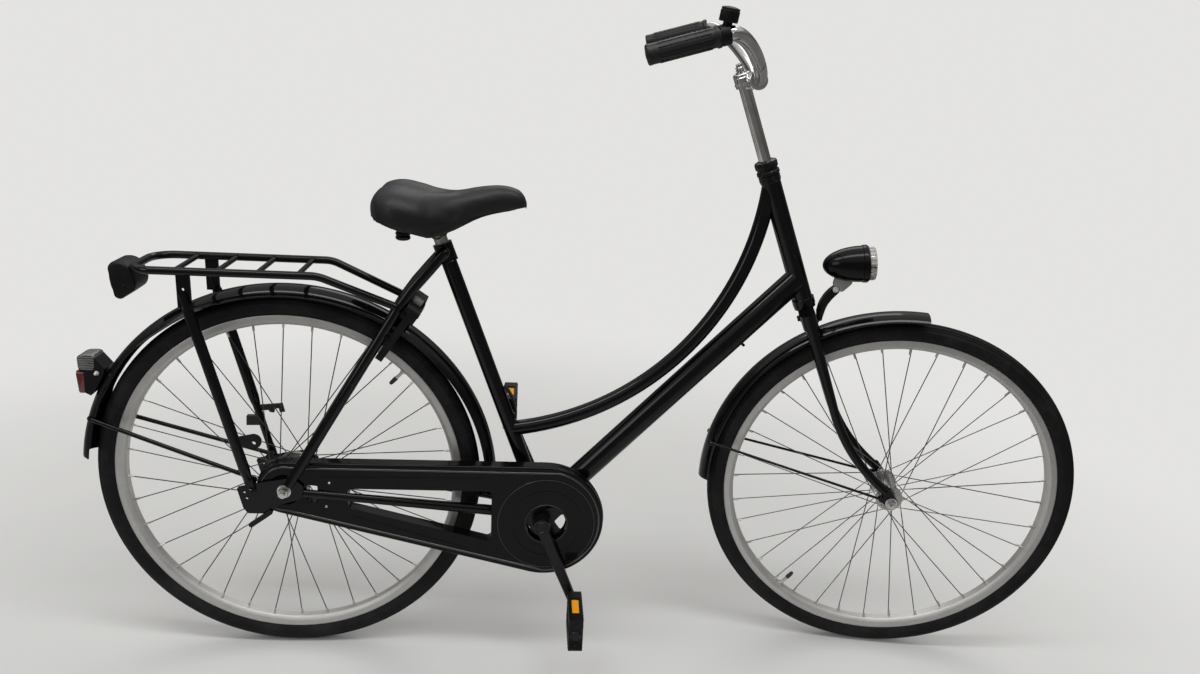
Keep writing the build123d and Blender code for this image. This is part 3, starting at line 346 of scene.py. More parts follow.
plated = Finish("plated_steel", "plated_steel", (0.62, 0.61, 0.59), 0.26, 0.95)
tarnish = plated.ramp(plated.noise(60.0, 4.0, 0.6), 0.45, 0.75)
plated.tint(tarnish, (0.36, 0.345, 0.32))
plated.dull(0.2, 0.25, tarnish)
plated.grain(900.0, 2.0, 0.0003, 0.15)
coat(plated, "rear_axle", "front_axle", "brake_arm")
lug_beads = [ring_bead(seat_top - seat_up * down, seat_up, radius, thick)
             for down, radius, thick in ((0.0335, 16.8, 0.9), (0.0005, 16.6, 0.8))]
lug_beads += [ring_bead(bracket + Vector((0, left, 0)), (0, 1, 0), 20.7, 0.8)
              for left in (0.0336, -0.0336)]
lug_beads += [ring_bead(steer_foot + steer_up * (crown_race + up) / 1000, steer_up, 17.8, thick)
              for up, thick in ((12.2, 1.6), (237.8, 0.9))]
add("lug_beads", "frame", enamel, *lug_beads)


# ---- tyres ---------------------------------------------------------------------------------------
# Black rubber tyres, 38 mm wide, on 622 mm seats: a round casing with bead lines on the wall,
# and a road tread of small blocks cut by fine cross sipes between grooves that run round.
rear_place, front_place = [aimed(joint[name]["pos_m"], joint[name]["axis"])
                           for name in ("rear_wheel_spin", "front_wheel_spin")]
wheels = (("rear", rear_place), ("front", front_place))


def lathe(name, profile, place, segments):
    """A closed ring turned from a looped profile, with a map that runs round it."""
    mesh = mesh_of(name, turned(profile, place, segments, looped=True))
    sheet = mesh.uv_layers.new(name="round")
    for number, face in enumerate(mesh.polygons):
        step, row = divmod(number, len(profile))
        corners = ((step, row), (step, row + 1), (step + 1, row + 1), (step + 1, row))
        for loop, (around, across) in zip(face.loop_indices, corners):
            sheet.data[loop].uv = (around / segments, across / len(profile))
    return mesh


def mirrored(profile):
    """The same (radius, along) pairs on the wheel's other side, from the last to the first."""
    return [(radius, -along) for radius, along in reversed(profile)]


def tyre_profile():
    """The casing from one bead round to the other, with the grooves of the tread."""
    outer, half, seat = 350, 19, 316.8
    sunk = {3: 1.5, 7: 1.3, 10: 1.0, 13: -0.5, 19: -0.6}
    bead = [(seat, 10.3), (312.8, 10.0)]
    casing = []
    for step in range(-25, 26):
        angle = math.radians(step * 5.6)
        reach = half - 0.4 - sunk.get(abs(step), 0.0)
        casing.append((max(outer - half + reach * math.cos(angle), seat), reach * math.sin(angle)))
    return mirrored(bead) + casing + bead


tyre_rubber = Finish("tyre_rubber", "tyre", (0.0065, 0.0065, 0.007), 0.72, Specular_IOR_Level=0.16)
road_dust = tyre_rubber.ramp(tyre_rubber.noise(14.0, 6.0, 0.65), 0.45, 0.82)
tyre_rubber.tint(road_dust, (0.028, 0.0275, 0.027))
tyre_rubber.dull(0.6, 0.28, road_dust)
turning = tyre_rubber.node("TexCoord", {}, {}, "UV")
blocks_round, rows_across, first_row = 150, 29.333, -2.667
laid = tyre_rubber.node("Mapping", {}, {"Vector": turning, "Scale": (blocks_round, rows_across, 1),
                                        "Location": (0, first_row, 0)})
blocks = tyre_rubber.node("TexBrick", {"offset": 0.5, "squash": 1.0}, {
    "Vector": laid, "Color1": (1, 1, 1, 1), "Color2": (1, 1, 1, 1), "Mortar": (0, 0, 0, 1),
    "Scale": 1.0, "Mortar Size": 0.07, "Mortar Smooth": 0.3, "Brick Width": 1.0, "Row Height": 1.6})
across_tyre = tyre_rubber.node("SeparateXYZ", {}, {0: turning}, 1)
on_tread = (tyre_rubber.ramp(across_tyre, 0.2955, 0.32)
            * (1 - tyre_rubber.ramp(across_tyre, 0.68, 0.7045)))
tyre_rubber.bump(blocks * on_tread + tyre_rubber.noise(900.0, 2.0) * 0.12, 0.0012, 0.8)
for wheel, place in wheels:
    name = wheel + "_tyre_tread"
    casing = lathe(name, tyre_profile(), place, 240)
    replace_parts(link(name, casing, wheel + "_wheel", tyre_rubber), wheel + "_tyre")


# ---- rims ----------------------------------------------------------------------------------------
# Single-wall alloy rims, rolled and joined, with a flat brake track on each side and a shallow
# box behind it, each drilled for 36 spokes and one valve.
alloy = Finish("rim_alloy", "rim", (0.60, 0.595, 0.58), 0.42, 0.8)
drawn = alloy.noise(38.0, 4.0, 0.6)
alloy.tint(drawn, (0.44, 0.435, 0.425), (0.60, 0.595, 0.58))
alloy.dull(0.36, 0.2, drawn)
alloy.bump(alloy.node("TexWave", {"wave_type": "BANDS", "bands_direction": "Y"}, {
    "Vector": alloy.node("TexCoord", {}, {}, "UV"), "Scale": 26.0, "Distortion": 0.4}), 0.0002, 0.2)
rim_edge, rim_foot, rim_half = 316.3, 298.3, 13
rim_side = [(rim_foot, 0.0), (rim_foot, 6.8), (rim_foot + 1.2, 8.8),
            (rim_foot + 6.2, rim_half - 0.6), (rim_foot + 7.4, rim_half),
            (rim_edge - 1.2, rim_half), (rim_edge, rim_half - 0.6),
            (rim_edge + 0.3, rim_half - 1.4), (rim_edge - 0.2, rim_half - 2.4),
            (rim_edge - 4, rim_half - 2.4), (rim_edge - 8.5, rim_half - 6), (rim_edge - 11.5, 4)]
for wheel, place in wheels:
    name = wheel + "_rim_rolled"
    rolled = lathe(name, rim_side + mirrored(rim_side[1:]), place, 216)
    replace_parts(link(name, rolled, wheel + "_wheel", alloy, 25.0), wheel + "_rim")


# ---- hubs, spokes and nipples --------------------------------------------------------------------
# Steel hubs, bright at the flanges and barrel, with 36 dull galvanised spokes, each crossing three
# others. A spoke ends in a nickel nipple at the rim and a rounded head at its flange hole.
for wheel, name, spoke_grey in (("rear", "hub_and_spokes", (0.06, 0.058, 0.056)),
                                ("front", "front_hub_and_spokes", (0.11, 0.107, 0.103))):
    steel = Finish(name, None, (0.55, 0.55, 0.54), 0.3, 0.9)
    from_centre = steel.node("VectorMath", {"operation": "SUBTRACT"},
                             {0: steel.place, 1: joint[wheel + "_wheel_spin"]["pos_m"]})
    flattened = steel.node("VectorMath", {"operation": "MULTIPLY"},
                           {0: from_centre, 1: (1, 0.1, 1)})
    offset = steel.node("VectorMath", {"operation": "LENGTH"}, {0: flattened}, 1)
    past_flange = steel.node("MapRange", {}, {0: offset, 1: 0.038, 2: 0.042})
    patchy = steel.noise(45.0, 4.0, 0.6)
    steel.tint(past_flange, steel.mix(patchy, (0.20, 0.197, 0.19), (0.55, 0.545, 0.53)), spoke_grey)
    steel.set("Metallic", 0.9 - past_flange * 0.45)
    steel.set("Roughness", 0.16 + patchy * 0.16 + past_flange * 0.22)
    steel.grain(600.0, 2.0, 0.0002, 0.2)
    coat(steel, wheel + "_hub")

repeat = bpy.data.node_groups.new("repeat_part", "GeometryNodeTree")
for label, kind in (("Geometry", "Geometry"), ("Part", "Object"), ("Size", "Float"),
                    ("Twist", "Float"), ("Seed", "Int"), ("Finish", "Material")):
    repeat.interface.new_socket(label, in_out="INPUT", socket_type="NodeSocket" + kind)
repeat.interface.new_socket("Geometry", in_out="OUTPUT", socket_type="NodeSocketGeometry")


def tree_node(kind, links, **settings):
    """A node of the tree, with its inputs linked or set."""
    made = repeat.nodes.new(kind)
    for key, value in settings.items():
        setattr(made, key, value)
    for key, value in links.items():
        if isinstance(value, bpy.types.NodeSocket):
            repeat.links.new(value, made.inputs[key])
        else:
            made.inputs[key].default_value = value
    return made.outputs


given = tree_node("NodeGroupInput", {})
aim = tree_node("GeometryNodeInputNamedAttribute", {"Name": "aim"}, data_type="FLOAT_VECTOR")
pointed = tree_node("FunctionNodeAlignRotationToVector", {"Vector": aim["Attribute"]}, axis="Y")
spin = tree_node("FunctionNodeRandomValue", {2: 0.0, 3: given["Twist"], "Seed": given["Seed"]},
                 data_type="FLOAT")
about = tree_node("FunctionNodeAxisAngleToRotation", {"Axis": (0, 1, 0), "Angle": spin[1]})
facing = tree_node("FunctionNodeRotateRotation",
                   {"Rotation": pointed["Rotation"], "Rotate By": about["Rotation"]},
                   rotation_space="LOCAL")
piece = tree_node("GeometryNodeObjectInfo", {"Object": given["Part"], "As Instance": True})
spread = tree_node("GeometryNodeInstanceOnPoints", {
    "Points": given["Geometry"], "Instance": piece["Geometry"], "Rotation": facing["Rotation"],
    "Scale": given["Size"]})
solid = tree_node("GeometryNodeRealizeInstances", {"Geometry": spread["Instances"]})
dressed = tree_node("GeometryNodeSetMaterial",
                    {"Geometry": solid["Geometry"], "Material": given["Finish"]})
tree_node("NodeGroupOutput", {"Geometry": dressed["Geometry"]})


def evaluated(thing):
    return thing.evaluated_get(bpy.context.evaluated_depsgraph_get())


def sown(name, places, part, body, finish, twist=0.0):
    """One small part repeated at (point, direction) places, joined in one mesh."""
    template = placed(name + "_one", mesh_of(name + "_one", part))
    cloud_mesh = mesh_of(name + "_places", ([point for point, _ in places], []))
    aims = cloud_mesh.attributes.new("aim", "FLOAT_VECTOR", "POINT")
    for number, (_, direction) in enumerate(places):
        aims.data[number].vector = Vector(direction).normalized()
    cloud = placed(name + "_places", cloud_mesh)
    modifier = cloud.modifiers.new("repeat", "NODES")
    modifier.node_group = repeat
    values = {"Part": template, "Size": 1.0, "Twist": twist, "Seed": 7, "Finish": finish.material}
    for socket in repeat.interface.items_tree:
        if socket.in_out == "INPUT" and socket.name in values:
            modifier[socket.identifier] = values[socket.name]
    mesh = bpy.data.meshes.new_from_object(evaluated(cloud))
    mesh.name = name
    for thing in (cloud, template):
        bpy.data.objects.remove(thing)
    return link(name, mesh, body, finish, 35.0)


def round_wheel(place, reach, left, turn, centre=(0, 0, 0)):
    """A point in millimetres, at an angle round a wheel and a reach from a centre by its axle."""
    angle = math.radians(turn)
    away = Vector((reach * math.cos(angle), left, reach * math.sin(angle)))
    return place @ ((Vector(centre) + away) / 1000)


origin = Matrix.Identity(4)
nipple = turned([(0, -1.5), (2.1, -1.5), (2.1, 8.5), (1.3, 11.5), (0, 11.5)], origin, 8)
spoke_head = turned([(0, -0.6), (1.9, -0.6), (1.8, 0.6), (0.9, 1.3), (0, 1.4)], origin, 8)
nickel = Finish("nickel", "hub_metal", (0.6, 0.58, 0.53), 0.3, 0.95)
nickel.dull(0.24, 0.2, nickel.noise(300.0, 3.0))
nickel.tint(nickel.noise(120.0), (0.5, 0.48, 0.43), (0.7, 0.68, 0.63))
spokes_a_side, cross_turn = 18, 60
for wheel, place, first, flange, flange_left in (("rear", rear_place, 11.0, 33, 25),
                                                 ("front", front_place, 0.0, 21, 33)):
    ends, heads = [], []
    for side in (-1, 1):
        for index in range(spokes_a_side):
            lead = 1 if index % 2 == 0 else -1
            turn = first + (index + (0.5 if side < 0 else 0)) * 360 / spokes_a_side
            at_rim = round_wheel(place, rim_foot, side * 3, turn + cross_turn * lead)
            at_hub = round_wheel(place, flange, side * flange_left + 2.4 * lead, turn)
            ends.append((at_rim, at_hub - at_rim))
            heads.append((round_wheel(place, flange, side * flange_left + 4.3 * lead, turn),
                          place.to_3x3() @ Vector((0, lead, 0))))
    sown(wheel + "_nipples", ends, nipple, wheel + "_wheel", nickel, 1.0)
    sown(wheel + "_spoke_heads", heads, spoke_head, wheel + "_wheel", nickel)

# One valve in each rim: a threaded brass-cored stem with a knurled nut and a black dust cap.
valve_black = Finish("valve_cap", "black_plastic", (0.02, 0.02, 0.021), 0.5)
valve_black.grain(500.0, 3.0, 0.0003, 0.3)
for wheel, place, turn in (("rear", rear_place, 46.0), ("front", front_place, 233.3)):
    at_rim = round_wheel(place, rim_foot, 0, turn)
    foot = aimed(at_rim, place.translation - at_rim)
    thread = [(3.3 if row % 2 else 3, 3.5 + row * 0.9) for row in range(20)]
    add(wheel + "_valve", wheel + "_wheel", nickel,
        turned([(0, -2), (3, -2)] + thread + [(2.6, 22.5), (0, 22.5)], foot, 14),
        turned([(0, 0.2), (5.8, 0.2), (6.2, 1.5), (5.8, 3), (0, 3)], foot, 20, 10, 0.06))
    add(wheel + "_valve_cap", wheel + "_wheel", valve_black,
        turned([(0, 19.5), (3.9, 19.5), (4.1, 21.5), (3.6, 33), (2.4, 36), (0, 36.5)], foot, 24,
               12, 0.05))


# ---- mudguards -----------------------------------------------------------------------------------
# Rolled steel mudguards in the same enamel, each with its two edges turned back into a small
# round bead and a soft crease either side of the crown. Painted M5 bolts, one a side, hold them
# at the stays.
def eased(share):
    """A share held between 0 and 1 and eased at both ends."""
    share = min(1.0, max(0.0, share))
    return share * share * (3 - 2 * share)


def rear_skirt(turn):
    """How far the skirt hangs: cut back behind the wheel."""
    return 17 * (1 - 0.27 * eased((turn - 124) / 16) * eased((158 - turn) / 6))


def front_skirt(turn):
    """How far the skirt hangs: longer towards its foot."""
    return 11 * (1 + 0.5 * eased((turn - 138) / 24))


def guard_section(rows=18):
    """(level, drop, left) round the thin wall: across its outside and back along its inside."""
    half, curve = 27, 0.93
    skins = []
    for thick in (0.0, 1.3):
        for row in range(rows + 1):
            share = -1 + 2 * row / rows
            drop = (1 - math.sqrt(1 - (share * curve) ** 2)) / (1 - math.sqrt(1 - curve ** 2))
            crease = 0.7 * math.exp(-((abs(share) - 0.62) / 0.05) ** 2)
            skins.append((thick + crease, drop, share * (half - thick * abs(share))))
    return skins[:rows + 1] + skins[:rows:-1]


def tube(points, radius, sides=12, closed=False):
    """A round wire through a list of points; its radius in millimetres may be a list."""
    rings = []
    count = len(points)
    for number, point in enumerate(points):
        before = points[number - 1] if number or closed else point
        after = points[(number + 1) % count] if number + 1 < count or closed else point
        run = (after - before).normalized()
        guide = Vector((0, 1, 0.01)) if abs(run.y) < 0.9 else Vector((0, 0, 1))
        side = run.cross(guide).normalized()
        other = run.cross(side)
        reach = (radius[number] if isinstance(radius, list) else radius) / 1000
        angles = [2 * math.pi * step / sides for step in range(sides)]
        rings.append([point + side * reach * math.cos(angle) + other * reach * math.sin(angle)
                      for angle in angles])
    return woven(rings, True, closed)


def bolt(point, direction, half_width, height, thick=0.9):
    """A hexagon head with a chamfered crown, on a washer if its thickness isn't nought."""
    place = aimed(point, direction)
    top = thick + height
    head = turned([(0, thick), (half_width, thick), (half_width, thick + height * 0.75),
                   (half_width * 0.82, top), (0, top)], place, 6)
    if thick == 0:
        return head
    wide = half_width * 1.4
    return joined(head, turned([(0, 0), (wide, 0), (half_width * 1.45, thick * 0.5), (wide, thick),
                                (0, thick)], place, 20))


rear_centre = (3, 0, -6)
for name, body, place, centre, radius, start, end, skirt in (
        ("rear", "frame", rear_place, rear_centre, 378, -2.0, 173.0, rear_skirt),
        ("front", "steering", front_place, (0, 0, 0), 368, 86.5, 180.0, front_skirt)):
    turns = [start + (end - start) * step / 150 for step in range(151)]
    wall = [[round_wheel(place, radius - level - drop * skirt(turn), left, turn, centre)
             for level, drop, left in guard_section()] for turn in turns]
    skin = add(name + "_guard_skin", body, enamel, woven(wall), smooth=50.0)
    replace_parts(skin, name + "_mudguard")
    edges = [[round_wheel(place, radius - skirt(turn) - 0.4, side * 26.8, turn, centre)
              for turn in turns] for side in (-1, 1)]
    add(name + "_guard_beads", body, enamel, *[tube(edge, 1.7, 8) for edge in edges])
for name, body, place, centre, reach, turn in (
        ("rear", "frame", rear_place, rear_centre, 366.5, 160.5),
        ("front", "steering", front_place, (0, 0, 0), 360.5, 167)):
    add(name + "_guard_bolts", body, enamel, *[
        bolt(round_wheel(place, reach, side * 27.2, turn, centre),
             place.to_3x3() @ Vector((0, side, 0)), 4.2, 3) for side in (-1, 1)], smooth=30.0)


# ---- the chain case ------------------------------------------------------------------------------
# A moulded plastic case in two halves, satin black with a fine leathery grain. A seam bead runs
# round its middle and glossy beads round the edge and the disc of its face; screws close it.
case_plastic = Finish("case_plastic", "case_plastic", (0.0024, 0.0024, 0.0029), 0.28,
                      Specular_IOR_Level=0.08, Coat_Weight=0.2, Coat_Roughness=0.06)
smudge = case_plastic.noise(11.0, 5.0, 0.6)
case_plastic.dull(0.14, 0.14, smudge)
case_plastic.tint(case_plastic.ramp(smudge, 0.5, 0.85), (0.0065, 0.0065, 0.007))
case_plastic.grain(1400.0, 2.0, 0.0003, 0.1)
coat(case_plastic, "chain_case")
case_edge = Finish("case_edge", "case_plastic", (0.0028, 0.0028, 0.0033), 0.12, Coat_Weight=1.0,
                   Coat_Roughness=0.05)
case_edge.dull(0.10, 0.08, case_edge.noise(40.0, 3.0))


def by_axle(forward, up, left=0.0):
    """A point given in millimetres ahead of, above and left of the rear axle."""
    return rear_axle + Vector((forward, left, up)) / 1000


def belt(shrink, left, turns=48):
    """Points round the case's outline, drawn in by a margin, at one distance to the left."""
    front, rear = bracket + Vector((0.0055, 0, 0.0035)), by_axle(0, 2)
    gap = front - rear
    big, small = (110.5 - shrink) / 1000, (51 - shrink) / 1000
    lean = math.atan2(gap.z, gap.x)
    opening = math.acos((big - small) / math.hypot(gap.x, gap.z))
    points = []
    for middle, radius, first, sweep in ((front, big, lean - opening, 2 * opening),
                                         (rear, small, lean + opening, 2 * (math.pi - opening))):
        for step in range(turns + 1):
            angle = first + sweep * step / turns
            points.append(Vector((middle.x + radius * math.cos(angle), left / 1000,
                                  middle.z + radius * math.sin(angle))))
    return points


def cross_screw(point, direction, radius):
    """A pan-head screw with a crossed recess."""
    shares = ((0, 0), (1, 0), (1, 0.3), (0.75, 0.55), (0.3, 0.62), (0.16, 0.35), (0, 0.35))
    return turned([(radius * out, radius * up) for out, up in shares], aimed(point, direction),
                  20, 4, -0.08)


add("case_seam", "frame", case_plastic, tube(belt(-0.2, -45.5), 1.1, 8, True))
add("case_face_bead", "frame", case_edge, tube(belt(8.5, -59.2), 2.1, 12, True))
disc_middle = bracket + Vector((0.0088, -0.0598, -0.001))
add("case_face_rings", "frame", case_edge,
    *[ring_bead(disc_middle, (0, 1, 0), radius, 0.8, 72) for radius in (39.5, 90.5)])
for name, finish, spots in (("case_screws", plated, ((79.4, 15.3), (73.1, -32.3))),
                            ("case_dark_screws", case_plastic, ((395, 44), (386, -118)))):
    add(name, "frame", finish, *[cross_screw(by_axle(forward, up, -59.4), (0, -1, 0), 2.5)
                                 for forward, up in spots], smooth=30.0)


# ---- the carrier ---------------------------------------------------------------------------------
# A rack of bent steel rod: weld beads show where each cross bar meets a rail. Painted bolts hold
# the legs at the rack's side plates and at the dropouts. Each leg is a steel tube pressed to an
# oval, broad in the side view, and necked in at both ends; the left one stands further forward.
add("rack_welds", "frame", enamel, *[
    ring_bead(by_axle(forward, 402, side * 57.2), (0, 1, 0), 4.7, 1.3, 20)
    for forward in (-165, -97, -30, 38) for side in (-1, 1)])
leg_bolts, legs = [], []
for side, shift, heights in ((-1, 0, (346, 338, 328, 44, 32, 23)),
                             (1, 7, (346, 338, 328, 132, 122, 114))):
    leg_bolts += [bolt(by_axle(-57 + shift, 2, side * 69.2), (0, side, 0), 5, 4),
                  bolt(by_axle(-150 + shift, 352, side * 65.2), (0, side, 0), 3.4, 2.6)]
    line = [by_axle(-152 + 95 * (365 - up) / 363 + shift, up, side * 66.5) for up in heights]
    points, faces = tube(line, [7.2, 8.8, 9.8, 9.8, 8.8, 7.4], 20)
    left, flatness = side * 0.0665, 0.73
    legs.append(([(x, left + flatness * (y - left), z) for x, y, z in points], faces))
add("rack_bolts", "frame", enamel, *leg_bolts, smooth=30.0)
add("rack_leg_tubes", "frame", enamel, *legs)


# ---- the seat stays and the cable stud -----------------------------------------------------------
# The stays are stout steel tubes: widest under the lug, even below the waist, necked at the foot.
# A small cable stud stands under the down tube, brazed on and painted with it.
lug, waist, foot = Vector((280.5, 442.1, 22)), Vector((214.1, 362.2, 37)), Vector((10, 14, 72.3))
stay_line = [waist.lerp(lug, share) for share in (0.85, 0.6, 0.2)]
stay_line += [waist.lerp(foot, share) for share in (0.05, 0.5, 0.88, 0.95)]
add("seat_stay_tubes", "frame", enamel, *[
    tube([by_axle(forward, up, side * left) for forward, up, left in stay_line],
         [10.5, 10.7, 10.1, 9.9, 9.9, 9.9, 8.6], 20) for side in (-1, 1)])
add("cable_stud", "frame", enamel, bolt(by_axle(826.5, 289), (0.8, 0, -0.6), 3, 8.5), smooth=30.0)


# ---- the strap bracket ---------------------------------------------------------------------------
# A bracket for a luggage strap, of dark grey moulded plastic, clamped on the carrier's left leg
# by one bright screw.
grey_plastic = Finish("grey_plastic", None, (0.012, 0.012, 0.013), 0.45)
grey_plastic.dull(0.38, 0.2, grey_plastic.noise(40.0, 4.0))
grey_plastic.grain(1100.0, 3.0, 0.0003, 0.25)
coat(grey_plastic, "strap_bracket")
add("strap_screw", "frame", plated, cross_screw(by_axle(-84, 84, 71.4), (0, 1, 0), 3), smooth=30.0)


# ---- the reflector under the rack ----------------------------------------------------------------
# A moulded black housing with rounded corners that grips the rack's tail, and a wide dark red
# reflector set in its rear face, pressed with small square prisms that carry a painted glint.
black_plastic = Finish("black_plastic", "black_plastic", (0.0042, 0.0042, 0.0048), 0.34,
                       Specular_IOR_Level=0.2)
worn = black_plastic.noise(34.0, 5.0, 0.65)
black_plastic.dull(0.3, 0.25, worn)
black_plastic.tint(black_plastic.ramp(worn, 0.5, 0.8), (0.010, 0.010, 0.0105))
black_plastic.grain(1300.0, 2.0, 0.0003, 0.3)
coat(black_plastic, "ring_lock", "tail_lamp", "pedal_right", "pedal_left", "seat_tube_clip")


def prismed_with_glints(finish, scale, dark, bright):
    """Press small square prisms in a lens finish, with a painted glint at their edges."""
    prisms_and_glints = finish.node("TexVoronoi", {"distance": "CHEBYCHEV"},
                         {"Vector": finish.place, "Scale": scale, "Randomness": 0.0})
    finish.tint(prisms_and_glints, dark, bright)
    finish.bump(prisms_and_glints, 0.0006, 0.6)


red_lens = Finish("red_lens", "red_lens", (0.20, 0.008, 0.01), 0.12, Coat_Weight=1.0,
                  Coat_Roughness=0.03)
# The red prisms carry a painted glint: darker in their middles, brighter towards their edges.
prismed_with_glints(red_lens, 420.0, (0.045, 0.003, 0.004), (0.20, 0.010, 0.012))
coat(red_lens, "tail_lamp_lens")


def rounded_bar(outline, half, rim, inset, put=by_axle):
    """A bar of an outline across the bicycle, with its ends drawn in by a rounded rim."""
    middle = sum((Vector(point) for point in outline), Vector((0, 0))) / len(outline)
    layers = [(-half + rim * (1 - math.cos(angle)), 1 - inset * (1 - math.sin(angle)))
              for angle in (math.radians(a) for a in (0, 22, 45, 68, 90))]
    layers += [(-left, grow) for left, grow in reversed(layers)]
    return woven([[put(*(middle + (Vector(point) - middle) * grow), left) for point in outline]
                  for left, grow in layers])


def softened(corners, radius, steps=4):
    """A closed outline with each corner rounded by short chords."""
    outline = []
    for number, corner in enumerate(corners):
        here = Vector(corner)
        before = Vector(corners[number - 1]) - here
        after = Vector(corners[(number + 1) % len(corners)]) - here
        reach = min(radius, before.length * 0.45, after.length * 0.45)
        start, end = here + before.normalized() * reach, here + after.normalized() * reach
        for share in (step / steps for step in range(steps + 1)):
            outline.append((start * (1 - share) + here * share) * (1 - share)
                           + (here * (1 - share) + end * share) * share)
    return outline


housing = softened([(-287.5, 397), (-279.5, 342.5), (-270, 339), (-244.5, 357), (-240.5, 371.5),
                    (-249.5, 399), (-264, 407), (-280, 406)], 9)
reflector_shell = add("reflector_shell", "frame", black_plastic,
                      rounded_bar(housing, 31.2, 7, 0.16), smooth=50.0)
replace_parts(reflector_shell, "carrier_reflector")
rear_slope = Vector((8, -54.5)).normalized()
rear_out = Vector((rear_slope.y, -rear_slope.x))
face_low, face_high = Vector((-281.6, 352)), Vector((-286.4, 388))
lens_rows = []
for row in range(9):
    up = row / 8
    spot = face_low + (face_high - face_low) * up
    half = 26 * (1 - 0.22 * abs(2 * up - 1) ** 3)
    shares = [-1 + 2 * column / 20 for column in range(21)]
    bulges = [1.4 + (1 - share * share) * (1 - (2 * up - 1) ** 2) for share in shares]
    front = [by_axle(*(spot + rear_out * bulge), share * half)
             for bulge, share in zip(bulges, shares)]
    lens_rows.append([by_axle(*spot, share * half) for share in shares] + front[::-1])
add("reflector_face", "frame", red_lens, woven(lens_rows), smooth=30.0)
add("reflector_screws", "frame", black_plastic, *[
    cross_screw(by_axle(-262, 364, side * 31), (0, side, 0), 2.8) for side in (-1, 1)], smooth=30.0)


# ---- the tail lamp -------------------------------------------------------------------------------
# A small dynamo lamp bolted to the guard: a black body, a smoky ribbed window with painted
# highlight streaks over a dark red lens at the rear, and one bright domed nut through each side
# ear.
smoke = Finish("smoky_window", "red_lens", (0.06, 0.058, 0.056), 0.14, Transmission_Weight=0.35,
               Coat_Weight=0.8)
smoke.dull(0.1, 0.15, smoke.noise(60.0))
# Pale bands painted across the window are painted highlights on its ribs; the same bands press the
# ribs.
rib_bands_and_painted_streaks = smoke.node("TexWave", {"wave_type": "BANDS", "bands_direction": "Z"},
                    {"Vector": smoke.place, "Scale": 70.0, "Distortion": 2.5})
smoke.tint(rib_bands_and_painted_streaks, (0.008, 0.008, 0.008), (0.20, 0.197, 0.19))
smoke.bump(rib_bands_and_painted_streaks, 0.0012, 0.7)
bright_zinc = Finish("bright_zinc", "plated_steel", (0.78, 0.77, 0.75), 0.34, 0.55)
bright_zinc.dull(0.28, 0.2, bright_zinc.noise(160.0, 3.0))
bright_zinc.grain(700.0, 2.0, 0.0003, 0.15)
lamp_turn = math.radians(149)
lamp_seat = Vector((3 + 378 * math.cos(lamp_turn), -6 + 378 * math.sin(lamp_turn)))


def lamp_bar(corners, radius, half, rim, inset):
    """A rounded block drawn from the lamp's seat on the guard."""
    return rounded_bar(softened([lamp_seat + Vector(corner) for corner in corners], radius),
                       half, rim, inset)


add("tail_window", "frame", smoke,
    lamp_bar([(-38.5, 41.5), (-38.0, 16.5), (-10, 15.5), (-7, 43), (-14, 45.6), (-30, 45)],
             5, 19.7, 5, 0.12))
add("tail_lens_wrap", "frame", red_lens,
    lamp_bar([(-42.3, 13), (-39.5, -27), (-29, -27), (-28, 12.5)], 3, 19.75, 4, 0.1))
rib_starts = [lamp_seat + Vector((-41.6 + row * 4.4 * 0.085, 12 - row * 4.4)) for row in range(8)]
add("tail_lens_ribs", "frame", red_lens, *[
    tube([by_axle(*start, -15.5 + 31 * step / 10) for step in range(11)], 1.1, 8)
    for start in rib_starts])
nuts = []
for side in (-1, 1):
    spot = by_axle(*(lamp_seat + Vector((-6, 12))), side * 19.2)
    dome = turned([(3.2, 4), (2.9, 5.8), (1.8, 7.2), (0, 7.6)], aimed(spot, (0, side, 0)), 16)
    nuts += [bolt(spot, (0, side, 0), 2.9, 2.6), dome]
add("tail_lamp_nuts", "frame", bright_zinc, *nuts, smooth=30.0)


# ---- the ring lock -------------------------------------------------------------------------------
# A frame lock over the rear wheel: a black moulded cover with a pale grey cylinder block on its
# right, a steel key in it, and bolts through to the two seat stays. Two screws close the small
# clip on the seat tube.
def lock_point(out, left, along):
    """A point on the lock's plane, which leans through the axle."""
    lean = math.radians(56)
    return by_axle(out * math.cos(lean) - along * math.sin(lean),
                   out * math.sin(lean) + along * math.cos(lean), left)


add("lock_trim", "frame", black_plastic, *[
    tube([lock_point(402 + 15 * math.sin(math.radians(a)), 40 * math.cos(math.radians(a)), along)
          for a in range(0, 181, 12)], 1.3, 8) for along in (-13.23, 13.23)])
dull_grey = Finish("dull_grey", "black_plastic", (0.17, 0.17, 0.17), 0.5, 0.3)
dull_grey.dull(0.4, 0.3, dull_grey.noise(80.0, 4.0))
dull_grey.grain(700.0, 3.0, 0.0003, 0.3)
key_out, key_left, key_along = 424, -24, 10.5
lock_along = lock_point(0, 0, 1) - lock_point(0, 0, 0)
add("lock_cylinder", "frame", dull_grey,
    turned([(0, -9), (7.2, -9), (8.2, -7.8), (8.2, 7.5), (7, 9), (5, 9.5), (4.6, 8.8), (0, 8.8)],
           aimed(lock_point(key_out, key_left, key_along - 8.5), lock_along), 24), smooth=35.0)
key_bow = ((0, 0), (0, 7), (5, 9), (6.5, 15), (0, 20), (-6.5, 15), (-5, 9), (0, 7))
add("lock_key", "frame", plated, tube([
    lock_point(key_out + out, key_left, key_along + along) for out, along in key_bow], 1.3, 8))
add("lock_bolts", "frame", enamel, *[
    bolt(lock_point(out, side * 50, along), (0, side, 0), 3.4, 3)
    for side in (-1, 1) for out, along in ((399, 11), (346, 9))], smooth=30.0)
add("clip_screw", "frame", plated, *[
    cross_screw(bracket + seat_up * height + Vector((-0.0242, 0, 0)), (-1, 0, 0), 3)
    for height in (0.032, 0.070)], smooth=30.0)


